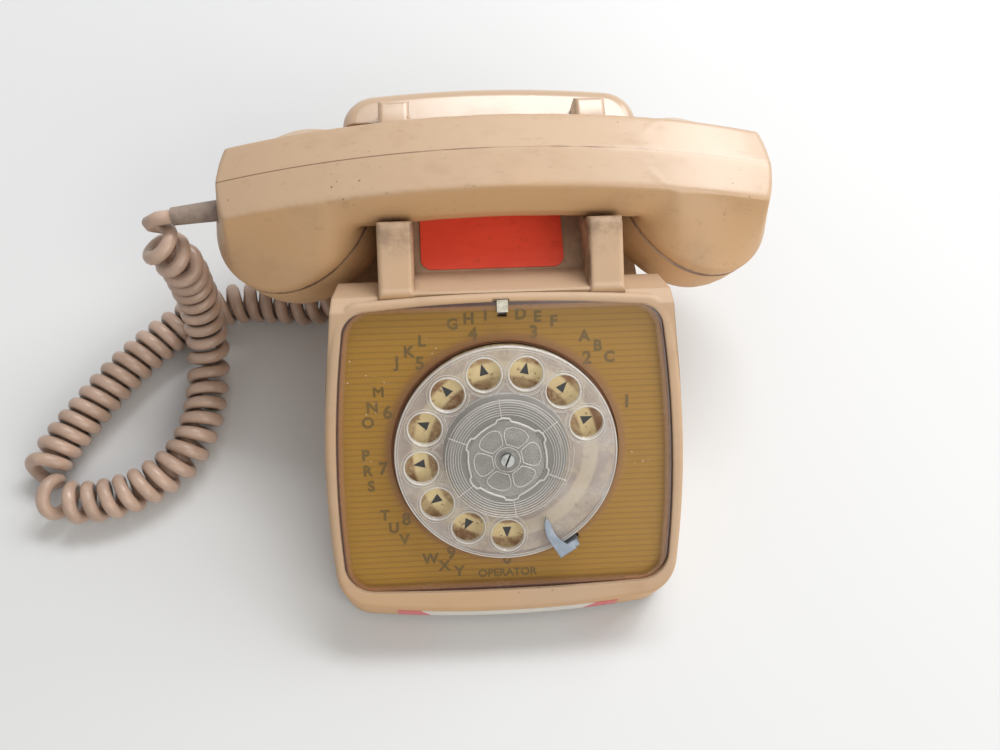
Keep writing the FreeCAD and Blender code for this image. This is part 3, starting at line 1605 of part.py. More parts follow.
# Ringer: frame, coil with poles, gongs, clapper, loudness wheel
def make_ringer_frame():
    top = base_top + ringer_thickness
    parts = [box(-ringer_half, ringer_half, ringer_front_y, ringer_rear_y, base_top, top)]
    for sign in SIDES:
        parts.append(rod(gong_post_radius, V(sign * gong_x, gong_y, top), Z, gong_bottom + gong_height - gong_wall - seat_gap - top))
    for x in (-clapper_post_x, clapper_post_x):
        parts.append(box(x - 0.7, x + 0.7, clapper_pivot_y - 3, clapper_pivot_y + 3, base_top, clapper_z - 4.5))
    parts.append(box(-clapper_post_x, clapper_post_x, clapper_pivot_y - 3, clapper_pivot_y + 3, clapper_z - 5.5, clapper_z - 4.5))
    for sign in SIDES:
        cheek = volume_x + sign * (volume_width / 2 + move_gap + 0.6)
        parts.append(box(cheek - 0.6, cheek + 0.6, volume_y - 4, volume_y + 4, base_top, volume_z + 3))
    parts.append(box(ringer_half - 1, volume_x - volume_width / 2 - move_gap, volume_y - 4, volume_y + 4, base_top, top))
    far = volume_x + volume_width / 2 + move_gap + 1.2
    parts.append(box(ringer_half - 1, far, volume_y + volume_radius + 1, volume_y + volume_radius + 4, base_top, top))
    parts.append(box(far - 1.2, far, volume_y - 4, volume_y + volume_radius + 4, base_top, top))
    frame = join(parts)
    frame = frame.cut(rod(1.5, V(45, volume_y, volume_z), X, 20))
    frame = frame.cut(rod(clapper_pin_radius, V(0, clapper_pivot_y, clapper_z - 8), Z, 8))
    for sign in SIDES:
        frame = frame.cut(rod(1.2, V(sign * gong_x, gong_y, gong_bottom), Z, gong_height))
    return frame


def make_gong(sign):
    outer = gong_radius
    roof = gong_bottom + gong_height
    gong = turned([
        (1.2, roof - gong_bottom - gong_wall), (outer - 6, roof - gong_bottom - gong_wall - 0.8),
        (outer - 1.4 - gong_wall, 5), (outer - gong_wall, 0), (outer, 0), (outer - 1.4, 5.5),
        (outer - 5.5, roof - gong_bottom - 0.8), (1.2, roof - gong_bottom),
    ], V(sign * gong_x, gong_y, gong_bottom), Z)
    return gong


def make_gong_screws():
    screws = []
    for sign in SIDES:
        top = V(sign * gong_x, gong_y, gong_bottom + gong_height)
        screws.append(join([rod(3, top, Z, 1.6), rod(1.2, top - Z * 8, Z, 8)]))
    return Part.makeCompound(screws)


def make_coil():
    start = V(-coil_half, coil_y, clapper_z - 5)
    winding = tube(coil_radius, core_radius + 1, start + X * 1.5, X, 2 * coil_half - 3)
    flanges = [tube(coil_radius + 1, core_radius, start + X * offset, X, 1.5) for offset in (0, 2 * coil_half - 1.5)]
    bobbin = tube(core_radius + 1, core_radius, start, X, 2 * coil_half)
    return join([winding, bobbin] + flanges)


def make_poles():
    z = clapper_z - 5
    core = rod(core_radius, V(-coil_half - 2, coil_y, z), X, 2 * coil_half + 4)
    parts = [core]
    tip_y = clapper_pivot_y - 1.5 - pole_gap
    for sign in SIDES:
        near = min(sign * (coil_half + 0.5), sign * (coil_half + 2.5))
        parts.append(box(near, near + 2, coil_y - 5, tip_y, base_top + ringer_thickness, z + 6))
    return join(parts)


def make_clapper():
    z = clapper_z
    armature = box(-armature_half, armature_half, clapper_pivot_y - 1.5, clapper_pivot_y + 1.5, z - 4, z)
    hub = rod(3.4, V(0, clapper_pivot_y, z - 4), Z, 5)
    arm = box(-0.8, 0.8, clapper_pivot_y, gong_y, z - 0.6, z + 0.6)
    ball = Part.makeSphere(ball_radius, V(0, gong_y, z))
    return join([armature, hub, arm, ball]).cut(rod(clapper_pin_radius + move_gap, V(0, clapper_pivot_y, z - 10), Z, 20))


def make_volume_wheel():
    start = V(volume_x - volume_width / 2, volume_y, volume_z)
    wheel = rod(volume_radius, start, X, volume_width)
    for index in range(24):
        angle = 2 * math.pi * index / 24
        notch = V(start.x - 1, volume_y + volume_radius * math.cos(angle), volume_z + volume_radius * math.sin(angle))
        wheel = wheel.cut(rod(0.5, notch, X, volume_width + 2))
    pin = rod(1.5 - 0.1, V(volume_x - 4, volume_y, volume_z), X, 8)
    return join([wheel, pin])


export("ringer_frame", make_ringer_frame())
export("ringer_coil", make_coil())
export("ringer_poles", make_poles())
for sign, name in ((-1, "gong_left"), (1, "gong_right")):
    export(name, make_gong(sign))
export("gong_screws", make_gong_screws())
export("clapper", make_clapper())
export("clapper_pin", rod(clapper_pin_radius, V(0, clapper_pivot_y, clapper_z - 5.5), Z, 7.5))
export("volume_wheel", make_volume_wheel())


# Network block with its terminals, and the leads
def make_network_block():
    block = box(-network_half, network_half, network_front_y, network_rear_y, base_top, network_top)
    sides = [edge for edge in block.Edges if abs(edge.tangentAt(edge.FirstParameter).z) > 0.9]
    return block.makeFillet(3, sides)


def terminal_spots():
    spots = []
    for row_y in (network_front_y + 5, network_rear_y - 5):
        for index in range(terminal_count):
            share = index / (terminal_count - 1)
            spots.append(V(-network_half + 8 + share * (2 * network_half - 16), row_y, network_top))
    return spots


def make_terminals():
    return Part.makeCompound([rod(terminal_radius, spot, Z, 1.8) for spot in terminal_spots()])


def bent_lead(points, radius, bend):
    """A lead of straight runs joined by arcs of one bend radius."""
    edges = []
    here = points[0]
    for before, corner, after in zip(points, points[1:], points[2:]):
        into = (corner - before).normalize()
        out = (after - corner).normalize()
        turn = math.acos(max(-1, min(1, into.dot(out))))
        trim = bend * math.tan(turn / 2)
        start = corner - into * trim
        end = corner + out * trim
        edges.append(Part.LineSegment(here, start).toShape())
        edges.append(arc_between(start, into, end))
        here = end
    edges.append(Part.LineSegment(here, points[-1]).toShape())
    first = (points[1] - points[0]).normalize()
    section = Part.Wire(Part.Circle(points[0], first, radius).toShape())
    return Part.Wire(edges).makePipeShell([section], True, False)


def make_leads():
    spots = terminal_spots()
    lead_radius = 0.7
    leads = []
    rear = spots[terminal_count:]
    for index in (0, terminal_count - 1):
        start = rear[index] + Z * 1.8
        x = start.x
        leads.append(bent_lead([start, start + Z * 5, V(x, 4, network_top + 7), V(x, 22, 52),
                                V(x * 0.4, 40, hook_plate_z - 3), V(x * 0.12, 40, hook_plate_z - 3)], lead_radius, 2.5))
    return Part.makeCompound(leads)


export("network_block", make_network_block())
export("network_terminals", make_terminals())
export("internal_leads", make_leads())


def tell(name, point):
    print(name, [round(value / 1000, 6) for value in point])


axis = face_frame.Rotation.multVec(Z)
slope_axis = face_frame.Rotation.multVec(Y)
print("face normal", [round(value, 6) for value in axis], "up the slope", [round(value, 6) for value in slope_axis])
tell("dial centre", face_point(0, 0, 0))
tell("second arbor", face_point(second_centre.x, second_centre.y, 0))
tell("governor arbor", face_point(governor_centre.x, governor_centre.y, 0))
tell("hook pin", V(0, hook_pin_y, hook_pin_z))
tell("clapper pin", V(0, clapper_pivot_y, clapper_z))
tell("volume wheel", V(volume_x, volume_y, volume_z))
for index in range(hole_count):
    spot = polar(hole_circle, hole_angle(index), wheel_under_w + wheel_thickness / 2)
    tell("finger hole %d" % (index + 1), face_point(spot.x, spot.y, spot.z))
print("ratios", round(-main_teeth / pinion_teeth, 6), round(main_teeth / pinion_teeth * second_teeth / pinion_teeth, 6))
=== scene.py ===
import math
import bmesh
import bpy
from mathutils import Matrix, Vector


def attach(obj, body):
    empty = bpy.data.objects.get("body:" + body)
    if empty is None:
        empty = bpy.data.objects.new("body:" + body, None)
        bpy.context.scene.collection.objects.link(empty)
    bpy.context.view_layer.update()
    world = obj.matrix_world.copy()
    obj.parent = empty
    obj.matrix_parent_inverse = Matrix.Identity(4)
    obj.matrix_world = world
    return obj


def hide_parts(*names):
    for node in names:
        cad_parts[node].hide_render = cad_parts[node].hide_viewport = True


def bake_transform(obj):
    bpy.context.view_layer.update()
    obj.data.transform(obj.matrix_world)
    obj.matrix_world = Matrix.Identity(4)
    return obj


# A desk telephone with a rotary dial in a sloped amber face, and a handset lying in its cradle.
# Everything is in metres, in the frame of the CAD model: the dial faces -Y and up.

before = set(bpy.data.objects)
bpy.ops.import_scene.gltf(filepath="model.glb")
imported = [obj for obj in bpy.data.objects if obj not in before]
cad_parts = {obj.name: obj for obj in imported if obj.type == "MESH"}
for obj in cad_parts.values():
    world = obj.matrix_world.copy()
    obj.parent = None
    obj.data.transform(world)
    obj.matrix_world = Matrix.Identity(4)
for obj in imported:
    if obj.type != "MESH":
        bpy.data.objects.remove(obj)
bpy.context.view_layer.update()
MM = 0.001


# Camera
# It looks down on the telephone from in front, a little from the left, as the photograph does.
camera_point = (-0.0242, -0.1549, 0.4429)
camera_pitch = math.radians(19.9492)
camera_yaw = -0.058
camera_roll = -0.037
lens = bpy.data.cameras.new("camera")
lens.lens = 36.0
lens.sensor_width = 36.0
lens.clip_start = 0.01
camera = bpy.data.objects.new("camera", lens)
bpy.context.scene.collection.objects.link(camera)
bpy.context.scene.camera = camera
camera.matrix_world = (Matrix.Translation(camera_point) @ Matrix.Rotation(camera_pitch, 4, "X")
                       @ Matrix.Rotation(camera_yaw, 4, "Y") @ Matrix.Rotation(camera_roll, 4, "Z"))


# Curly cord of the handset
# A vinyl lead wound into a spring. It leaves the relief on the handset, falls to the table, makes a loop
# to the left and comes back to the side of the housing. The route is the middle line of the curls.
cord_thickness = 5.8 * MM
curl_radius = 6.5 * MM
curl_pitch = 6.75 * MM
curl_gap = 0.55 * MM
curl_lead_handset = 12.0 * MM
curl_lead_base = 6.0 * MM
curl_steps = 24
least_room = 0.35
least_winding = 0.12
route_samples = 1600
lead_out = 3
lead_in = 5
lead_droop = (0, -0.5, -1.0)
cord_start = Vector((-128.27, 45.58, 88.0)) * MM
cord_start_ahead = Vector((-math.cos(math.radians(7)), -math.sin(math.radians(7)), 0))
cord_end = Vector((-64.0, 40.0, 12.4)) * MM
cord_end_ahead = Vector((1, 0, 0))
table_z = 9.75
route_points = [
    (-138.0, 41.5, 83.0), (-134.5, 38.2, 75.5), (-131.0, 37.0, 68.0), (-129.9, 36.6, 60.0),
    (-130.2, 35.7, 48.0), (-129.2, 32.4, 37.0), (-129.0, 26.9, 27.0), (-129.0, 20.4, 19.0),
    (-129.6, 14.2, 13.4), (-130.1, 7.0, 10.4), (-130.6, -2.1, table_z), (-131.5, -10.4, table_z),
    (-133.4, -18.5, table_z), (-136.5, -25.8, table_z), (-141.0, -32.5, table_z),
    (-146.7, -37.7, table_z), (-153.4, -41.9, table_z), (-159.6, -45.2, table_z),
    (-166.9, -47.5, table_z), (-174.3, -48.9, table_z), (-181.8, -49.5, table_z),
    (-189.3, -48.6, table_z), (-195.9, -45.6, table_z), (-199.4, -40.6, table_z),
    (-199.2, -35.0, table_z), (-196.9, -29.4, table_z), (-193.2, -23.2, table_z),
    (-188.8, -16.6, table_z), (-183.9, -9.9, table_z), (-179.0, -3.1, table_z),
    (-173.7, 3.6, table_z), (-167.9, 10.4, table_z), (-161.6, 17.1, table_z),
    (-154.8, 23.7, table_z), (-147.3, 29.8, table_z), (-139.6, 35.1, table_z),
    (-132.2, 39.3, table_z), (-124.2, 42.1, table_z), (-116.0, 43.1, table_z),
    (-106.9, 42.9, table_z), (-97.6, 41.8, table_z), (-88.3, 40.6, table_z),
]


def read_route():
    """The route as a smooth spline, read back as closely spaced points."""
    first = cord_start + cord_start_ahead * cord_thickness
    last = cord_end - cord_end_ahead * cord_thickness
    points = [first, first + cord_start_ahead * lead_out * MM + Vector(lead_droop) * MM]
    points += [Vector(point) * MM for point in route_points]
    points += [last - cord_end_ahead * lead_in * MM, last]
    curve = bpy.data.curves.new("route", "CURVE")
    curve.dimensions = "3D"
    curve.resolution_u = 40
    spline = curve.splines.new("NURBS")
    spline.points.add(len(points) - 1)
    for spot, point in zip(spline.points, points):
        spot.co = (*point, 1.0)
    spline.order_u = 3
    spline.use_endpoint_u = True
    carrier = bpy.data.objects.new("route", curve)
    bpy.context.scene.collection.objects.link(carrier)
    line = bpy.data.meshes.new_from_object(carrier)
    spots = [vertex.co.copy() for vertex in line.vertices]
    bpy.data.objects.remove(carrier)
    bpy.data.curves.remove(curve)
    bpy.data.meshes.remove(line)
    return spots


def smooth(share):
    """Rises from 0 to 1 with gentle ends."""
    share = min(max(share, 0), 1)
    return share * share * (3 - 2 * share)


def wind(spots):
    """Winds the lead round the route. The curls spread where the route bends, so that they keep apart."""
    steps = [0.0]
    for here, there in zip(spots, spots[1:]):
        steps.append(steps[-1] + (there - here).length)
    length = steps[-1]
    last = route_samples - 1
    even = []
    index = 0
    for number in range(route_samples):
        wanted = length * number / last
        while index < len(spots) - 2 and steps[index + 1] < wanted:
            index += 1
        share = (wanted - steps[index]) / (steps[index + 1] - steps[index])
        even.append(spots[index].lerp(spots[index + 1], min(share, 1.0)))
    ahead = []
    for index in range(route_samples):
        ahead.append((even[min(index + 1, last)] - even[max(index - 1, 0)]).normalized())
    across = [ahead[0].cross(Vector((0, 0, 1))).normalized()]
    for index in range(1, route_samples):
        before = across[-1]
        across.append((before - ahead[index] * before.dot(ahead[index])).normalized())
    step = length / last
    bends = [(ahead[index + 1] - ahead[index]).length / step for index in range(last)]
    near = int(curl_pitch / 2 / step)
    angle = 0.0
    angles = [0.0]
    for index in range(1, route_samples):
        place = index * step
        bend = max(bends[max(index - near, 0):index + near])
        room = max(1 - curl_radius * bend, least_room)
        pitch = max(curl_pitch, (cord_thickness + curl_gap) / room)
        ends = smooth(place / curl_lead_handset) * smooth((length - place) / curl_lead_base)
        angle += 2 * math.pi * step / pitch * max(ends, least_winding)
        angles.append(angle)
    turns = round(angles[-1] / math.pi) / 2
    scale = turns * 2 * math.pi / angles[-1]
    path = [cord_start, cord_start + cord_start_ahead * cord_thickness / 2]
    index = 0
    for part in range(int(turns * curl_steps) + 1):
        wanted = part * 2 * math.pi / curl_steps
        while index < last - 1 and angles[index + 1] * scale < wanted - 1e-9:
            index += 1
        share = min(max((wanted / scale - angles[index]) / (angles[index + 1] - angles[index]), 0), 1)
        place = (index + share) * step
        side_way = across[index].lerp(across[index + 1], share).normalized()
        up = ahead[index].cross(side_way)
        reach = curl_radius * smooth(place / curl_lead_handset) * smooth((length - place) / curl_lead_base)
        middle = even[index].lerp(even[index + 1], share)
        path.append(middle + side_way * (reach * math.cos(wanted)) + up * (reach * math.sin(wanted)))
    path += [cord_end - cord_end_ahead * cord_thickness / 2, cord_end]
    return path


class Field:
    """A value that varies over a surface. Arithmetic on it adds Math nodes to the finish it belongs to."""

    def __init__(self, finish, socket):
        self.finish = finish
        self.socket = socket

    def math(self, operation, *others):
        inputs = dict(enumerate((self,) + others))
        return self.finish.node("ShaderNodeMath", {"operation": operation}, inputs)

    def reflected(self, operation, other):
        return self.finish.node("ShaderNodeMath", {"operation": operation}, {0: other, 1: self})

    def __add__(self, other):
        return self.math("ADD", other)

    def __radd__(self, other):
        return self.reflected("ADD", other)

    def __sub__(self, other):
        return self.math("SUBTRACT", other)

    def __rsub__(self, other):
        return self.reflected("SUBTRACT", other)

    def __mul__(self, other):
        return self.math("MULTIPLY", other)

    def __rmul__(self, other):
        return self.reflected("MULTIPLY", other)

    def __truediv__(self, other):
        return self.math("DIVIDE", other)

    def __abs__(self):
        return self.finish.node("ShaderNodeMath", {"operation": "ABSOLUTE"}, {0: self})


class Finish:
    """A material while it is being put together."""

    def __init__(self, name, **sockets):
        self.material = bpy.data.materials.new(name)
        self.material.use_nodes = True
        self.nodes = self.material.node_tree.nodes
        self.shader = self.nodes["Principled BSDF"]
        self.place = self.node("ShaderNodeTexCoord", output="Object")
        for key, value in sockets.items():
            self.set(key.replace("_", " "), value)

    def node(self, kind, settings=None, inputs=None, output=0):
        made = self.nodes.new(kind)
        for key, value in (settings or {}).items():
            setattr(made, key, value)
        for key, value in (inputs or {}).items():
            self.feed(made.inputs[key], value)
        return Field(self, made.outputs[output])

    def feed(self, socket, value):
        if isinstance(value, Field):
            self.material.node_tree.links.new(value.socket, socket)
        else:
            socket.default_value = value

    def set(self, name, value):
        if isinstance(value, tuple) and len(value) == 3:
            value = (*value, 1.0)
        self.feed(self.shader.inputs[name], value)

    def noise(self, scale, detail=3.0, rough=0.5, stretch=None, twist=0.0):
        where = self.place
        if stretch:
            where = self.node("ShaderNodeMapping", inputs={"Vector": self.place, "Scale": stretch})
        return self.node("ShaderNodeTexNoise", inputs={
            "Vector": where, "Scale": scale, "Detail": detail, "Roughness": rough, "Distortion": twist})

    def between(self, value, low, high):
        """0 below low, 1 above high, smooth in between. low may be the larger one."""
        return self.node("ShaderNodeMapRange", {"interpolation_type": "SMOOTHSTEP"},
                         {"Value": value, "From Min": low, "From Max": high})

    def mix(self, share, first, second):
        """A colour between two colours."""
        made = self.nodes.new("ShaderNodeMix")
        made.data_type = "RGBA"
        self.feed(made.inputs[0], share)
        for index, colour in ((6, first), (7, second)):
            if isinstance(colour, tuple):
                colour = (*colour, 1.0)
            self.feed(made.inputs[index], colour)
        return Field(self, made.outputs[2])

    def cells(self, scale):
        """Distance from the middle of the nearest cell of a scattered pattern."""
        return self.node("ShaderNodeTexVoronoi", inputs={"Vector": self.place, "Scale": scale},
                         output="Distance")

    def axis(self, direction, origin=(0, 0, 0)):
        """Distance of a point from a plane through origin, along direction."""
        moved = self.node("ShaderNodeVectorMath", {"operation": "SUBTRACT"}, {0: self.place, 1: origin})
        return self.node("ShaderNodeVectorMath", {"operation": "DOT_PRODUCT"}, {0: moved, 1: direction},
                         output="Value")

    def facing(self, direction):
        """1 where the surface faces along direction."""
        normal = self.node("ShaderNodeNewGeometry", output="Normal")
        return self.node("ShaderNodeVectorMath", {"operation": "DOT_PRODUCT"}, {0: normal, 1: direction},
                         output="Value")

    def corners(self, reach):
        """1 deep in corners and seams, 0 in the open."""
        open_sky = self.node("ShaderNodeAmbientOcclusion", {"samples": 8}, {"Distance": reach}, output="AO")
        return 1 - open_sky

    def rounded(self, radius, bump=None, strength=0.2, distance=0.0002):
        """Rounds the look of edges, with an optional height pattern on top."""
        normal = self.node("ShaderNodeBevel", {"samples": 4}, {"Radius": radius})
        if bump is not None:
            normal = self.node("ShaderNodeBump", inputs={
                "Height": bump, "Strength": strength, "Distance": distance, "Normal": normal})
        self.set("Normal", normal)


def show(name, mesh, body, finish, replaces=()):
    """Puts a finished mesh in the scene as a piece of the telephone."""
    piece = bpy.data.objects.new(name, mesh)
    bpy.context.scene.collection.objects.link(piece)
    mesh.materials.clear()
    mesh.materials.append(finish.material)
    if body:
        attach(piece, body)
    if replaces:
        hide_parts(*replaces)
    return piece


def mottled(name, pattern, first, second, **sockets):
    """A finish that wanders between two colours. The pattern is a noise's scale, detail and roughness."""
    finish = Finish(name, **sockets)
    finish.set("Base Color", finish.mix(finish.noise(*pattern), first, second))
    return finish


def dress(finish, *names):
    """Gives CAD nodes a finish."""
    for name in names:
        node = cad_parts[name]
        if not node.material_slots:
            node.data.materials.append(None)
        for place in node.material_slots:
            place.material = finish.material


def tube_mesh(name, path, radius, sides=3):
    """A round tube along a path of points, closed at its ends."""
    curve = bpy.data.curves.new(name, "CURVE")
    curve.dimensions = "3D"
    curve.bevel_depth = radius
    curve.bevel_resolution = sides
    curve.use_fill_caps = True
    spline = curve.splines.new("POLY")
    spline.points.add(len(path) - 1)
    for spot, point in zip(spline.points, path):
        spot.co = (*point, 1.0)
    carrier = bpy.data.objects.new(name, curve)
    bpy.context.scene.collection.objects.link(carrier)
    mesh = bpy.data.meshes.new_from_object(carrier)
    bpy.data.objects.remove(carrier)
    bpy.data.curves.remove(curve)
    for face in mesh.polygons:
        face.use_smooth = True
    return mesh


cord_finish = Finish("curly cord vinyl", Coat_Weight=0.12, Coat_Roughness=0.3)
handling = cord_finish.between(cord_finish.noise(60, 4, 0.6), 0.35, 0.7)
cord_colour = cord_finish.mix(handling, (0.49, 0.345, 0.265), (0.37, 0.255, 0.19))
# Painted shade: the colour goes dark brown where the curls crowd each other, in the gaps between them.
curl_gap_shade = cord_finish.between(cord_finish.corners(3.0 * MM), 0.25, 0.75)
cord_finish.set("Base Color", cord_finish.mix(curl_gap_shade * 0.85, cord_colour, (0.045, 0.028, 0.019)))
cord_finish.set("Roughness", 0.30 + 0.15 * handling)

curl_path = wind(read_route())
cord_length = sum((there - here).length for here, there in zip(curl_path, curl_path[1:]))
cord = show("curly_cord", tube_mesh("curly_cord", curl_path, cord_thickness / 2, 4), None,
            cord_finish, ["handset_cord"])
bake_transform(cord)


# Table, lamps and air
# A plain pale table top. Two soft lamps stand on the right and behind, as windows, and a wide warm one in
# front. The air glows softly all round, and looks pale to the camera, through glass and in reflections.
backdrop_colour = (0.93, 0.93, 0.93)
backdrop_strength = 1.0
glow_colour = (1.0, 0.97, 0.93)
glow_strength = 0.47
lamp_target = (0, 0, 0.05)
table_reach = 6
table_finish = mottled("table", (3, 2), (0.64, 0.65, 0.66), (0.67, 0.68, 0.69), Roughness=0.7,
                       Specular_IOR_Level=0.2)
table_mesh = bpy.data.meshes.new("table")
form = bmesh.new()
bmesh.ops.create_grid(form, x_segments=1, y_segments=1, size=table_reach)
form.to_mesh(table_mesh)
form.free()
table = bpy.data.objects.new("table", table_mesh)
bpy.context.scene.collection.objects.link(table)
table_mesh.materials.append(table_finish.material)


def lamp(name, place, width, height, power, colour):
    """An oblong soft lamp that points at the telephone."""
    light = bpy.data.lights.new(name, "AREA")
    light.shape = "RECTANGLE"
    light.size = width
    light.size_y = height
    light.energy = power
    light.color = colour
    holder = bpy.data.objects.new(name, light)
    bpy.context.scene.collection.objects.link(holder)
    aim = (Vector(lamp_target) - Vector(place)).to_track_quat("-Z", "Y")
    holder.matrix_world = Matrix.Translation(place) @ aim.to_matrix().to_4x4()


lamp("window", (0.95, 0.80, 0.95), 0.8, 0.8, 12.0, (0.98, 0.99, 1.0))
lamp("rear window", (0.36, 0.92, 1.36), 0.9, 0.35, 14.0, (0.97, 0.99, 1.0))
lamp("room", (0.75, -1.0, 0.9), 1.2, 1.2, 10.5, (1.0, 0.95, 0.88))

bpy.context.scene.view_settings.view_transform = "Standard"
air = bpy.data.worlds.new("air")
bpy.context.scene.world = air
air.use_nodes = True
air_tree = air.node_tree
air_tree.nodes.clear()
rays = air_tree.nodes.new("ShaderNodeLightPath")
seen = rays.outputs["Is Camera Ray"]
for kind in ("Is Transmission Ray", "Is Glossy Ray"):
    either = air_tree.nodes.new("ShaderNodeMath")
    either.operation = "MAXIMUM"
    air_tree.links.new(seen, either.inputs[0])
    air_tree.links.new(rays.outputs[kind], either.inputs[1])
    seen = either.outputs[0]
share = air_tree.nodes.new("ShaderNodeMixShader")
air_tree.links.new(seen, share.inputs[0])
for index, colour, strength in ((1, glow_colour, glow_strength), (2, backdrop_colour, backdrop_strength)):
    background = air_tree.nodes.new("ShaderNodeBackground")
    background.inputs["Color"].default_value = (*colour, 1)
    background.inputs["Strength"].default_value = strength
    air_tree.links.new(background.outputs[0], share.inputs[index])
air_out = air_tree.nodes.new("ShaderNodeOutputWorld")
air_tree.links.new(share.outputs[0], air_out.inputs["Surface"])


# Housing
# One beige moulding with a low gloss, yellowed and handled, with a painted warm shade tint on faces turned
# forward and down. Dirt and painted shade darken the lip of the face, the posts of the cradle and every inner
# corner, and painted shadow with dirt lies on the post tops and the cradle floor under the handset. The deck
# behind the handset has kept its polish.
shell_beige = (0.485, 0.335, 0.218)
# The yellowed tone also serves as a painted warm shade tint on faces turned forward and down.
shell_yellowed_and_shaded = (0.555, 0.340, 0.170)
shell_handled = (0.34, 0.215, 0.125)
# Brown of specks and dirt, also used as painted shade in corners.
grime_and_shade_brown = (0.085, 0.045, 0.024)


def beige_moulding(name, grime_and_shade_reach, grime_and_shade_share):
    """Beige plastic, yellowed with a painted warm shade tint where it faces forward, with smears, specks, and
    dirt and painted shade in corners.

    Gives the finish, its colour and its roughness, to add to before they are set.
    """
    finish = Finish(name, Specular_IOR_Level=0.4, Coat_Roughness=0.2)
    # Yellowed plastic together with a painted warm shade tint: faces turned forward and down go warmer and
    # yellower.
    yellowed_and_shade_tint = finish.between(finish.noise(14, 3) - 0.55 * finish.facing((0, -0.8, -0.6)), 0.75, 0.05)
    colour = finish.mix(yellowed_and_shade_tint, shell_beige, shell_yellowed_and_shaded)
    smear = finish.between(finish.noise(45, 5, 0.65, (1, 1.6, 1)), 0.50, 0.76)
    colour = finish.mix(smear * 0.30, colour, shell_handled)
    speck = finish.between(finish.cells(300.0), 0.17, 0.08) * finish.between(finish.noise(38, 2), 0.62, 0.70)
    colour = finish.mix(speck * 0.7, colour, grime_and_shade_brown)
    # Dirt with painted shade: every inner corner goes patchily dark brown, where shade falls.
    corner = finish.corners(grime_and_shade_reach)
    patchy = finish.between(finish.noise(110, 4, 0.7), 0.30, 0.62)
    corner_grime_and_shade = finish.between(corner, 0.22, 0.85) * (0.35 + 0.65 * patchy)
    colour = finish.mix(corner_grime_and_shade * grime_and_shade_share, colour, grime_and_shade_brown)
    finish.rounded(1.5 * MM, finish.noise(900, 2), 0.05)
    return finish, colour, 0.50 + 0.12 * smear + 0.15 * corner_grime_and_shade


housing_finish, housing_colour, housing_rough = beige_moulding("housing moulding", 6.0 * MM, 0.85)
cradle_patch_noise = housing_finish.between(housing_finish.noise(85, 5, 0.75), 0.34, 0.62)
cradle_x = housing_finish.axis((1, 0, 0))
cradle_y = housing_finish.axis((0, 1, 0))
cradle_z = housing_finish.axis((0, 0, 1))
# Dirt and painted shade in the cradle: dirt on the inner sides of the posts, and painted shadow with dirt on
# the post tops and the cradle floor under the handset.
in_cradle = housing_finish.between(cradle_y, 2.0 * MM, 10.0 * MM)
in_cradle = in_cradle * housing_finish.between(cradle_y, 66.0 * MM, 58.0 * MM)
right_inner = housing_finish.between(housing_finish.facing((-1, 0, 0)), 0.35, 0.75)
right_inner = right_inner * housing_finish.between(cradle_x, 16.0 * MM, 20.0 * MM)
left_inner = housing_finish.between(housing_finish.facing((1, 0, 0)), 0.35, 0.75)
left_inner = left_inner * housing_finish.between(cradle_x, -16.0 * MM, -20.0 * MM)
post_top_dirt_and_shadow = housing_finish.between(cradle_z, 101.0 * MM, 106.0 * MM) * 0.55
cradle_floor_dirt_and_shade = housing_finish.between(cradle_z, 92.0 * MM, 85.0 * MM)
cradle_floor_dirt_and_shade = cradle_floor_dirt_and_shade * housing_finish.between(housing_finish.facing((0, 0, 1)), 0.6, 0.9)
cradle_dirt_and_shade = right_inner * 0.85 + left_inner * 0.45 + post_top_dirt_and_shadow + cradle_floor_dirt_and_shade * 0.35
cradle_dirt_and_shade = (cradle_dirt_and_shade * in_cradle).math("MINIMUM", 0.9) * (0.15 + 0.85 * cradle_patch_noise)
housing_colour = housing_finish.mix(cradle_dirt_and_shade, housing_colour, (0.14, 0.085, 0.055))
housing_finish.set("Base Color", housing_colour)
polished_deck = housing_finish.between(cradle_y, 76.0 * MM, 84.0 * MM)
polished_deck = polished_deck * housing_finish.between(cradle_z, 82.0 * MM, 87.0 * MM)
housing_finish.set("Roughness", housing_rough - 0.22 * polished_deck)
housing_finish.set("Coat Weight", 0.65 * polished_deck)
dress(housing_finish, "housing")


# Base plate, rubber feet, screws and inner steel
# Zinc-plated sheet steel, stamped, with a dull bloom. The feet are moulded rubber pressed through the base.
zinc_finish = Finish("zinc plated steel", Metallic=0.9)
bloom = zinc_finish.between(zinc_finish.noise(70, 4, 0.6), 0.3, 0.7)
zinc_finish.set("Base Color", zinc_finish.mix(bloom, (0.52, 0.50, 0.42), (0.42, 0.41, 0.36)))
zinc_finish.set("Roughness", 0.34 + 0.25 * bloom)
dress(zinc_finish, "dial_frame", "dial_bridge", "dial_bracket", "ringer_frame", "hook_bracket", "base_plate",
      "dial_screws", "base_screws", "hook_bracket_screws", "gong_screws")

steel_finish = Finish("bright steel", Metallic=1.0)
brushing = steel_finish.noise(400, 3, 0.6, (1, 0.08, 1))
steel_finish.set("Base Color", steel_finish.mix(brushing, (0.50, 0.52, 0.54), (0.62, 0.63, 0.65)))
steel_finish.set("Roughness", 0.22 + 0.2 * brushing)
dress(steel_finish, "hook_pin", "hook_spring", "hook_lever", "clapper", "clapper_pin", "governor_cup",
      "mainspring", "dial_shaft", "ringer_poles")

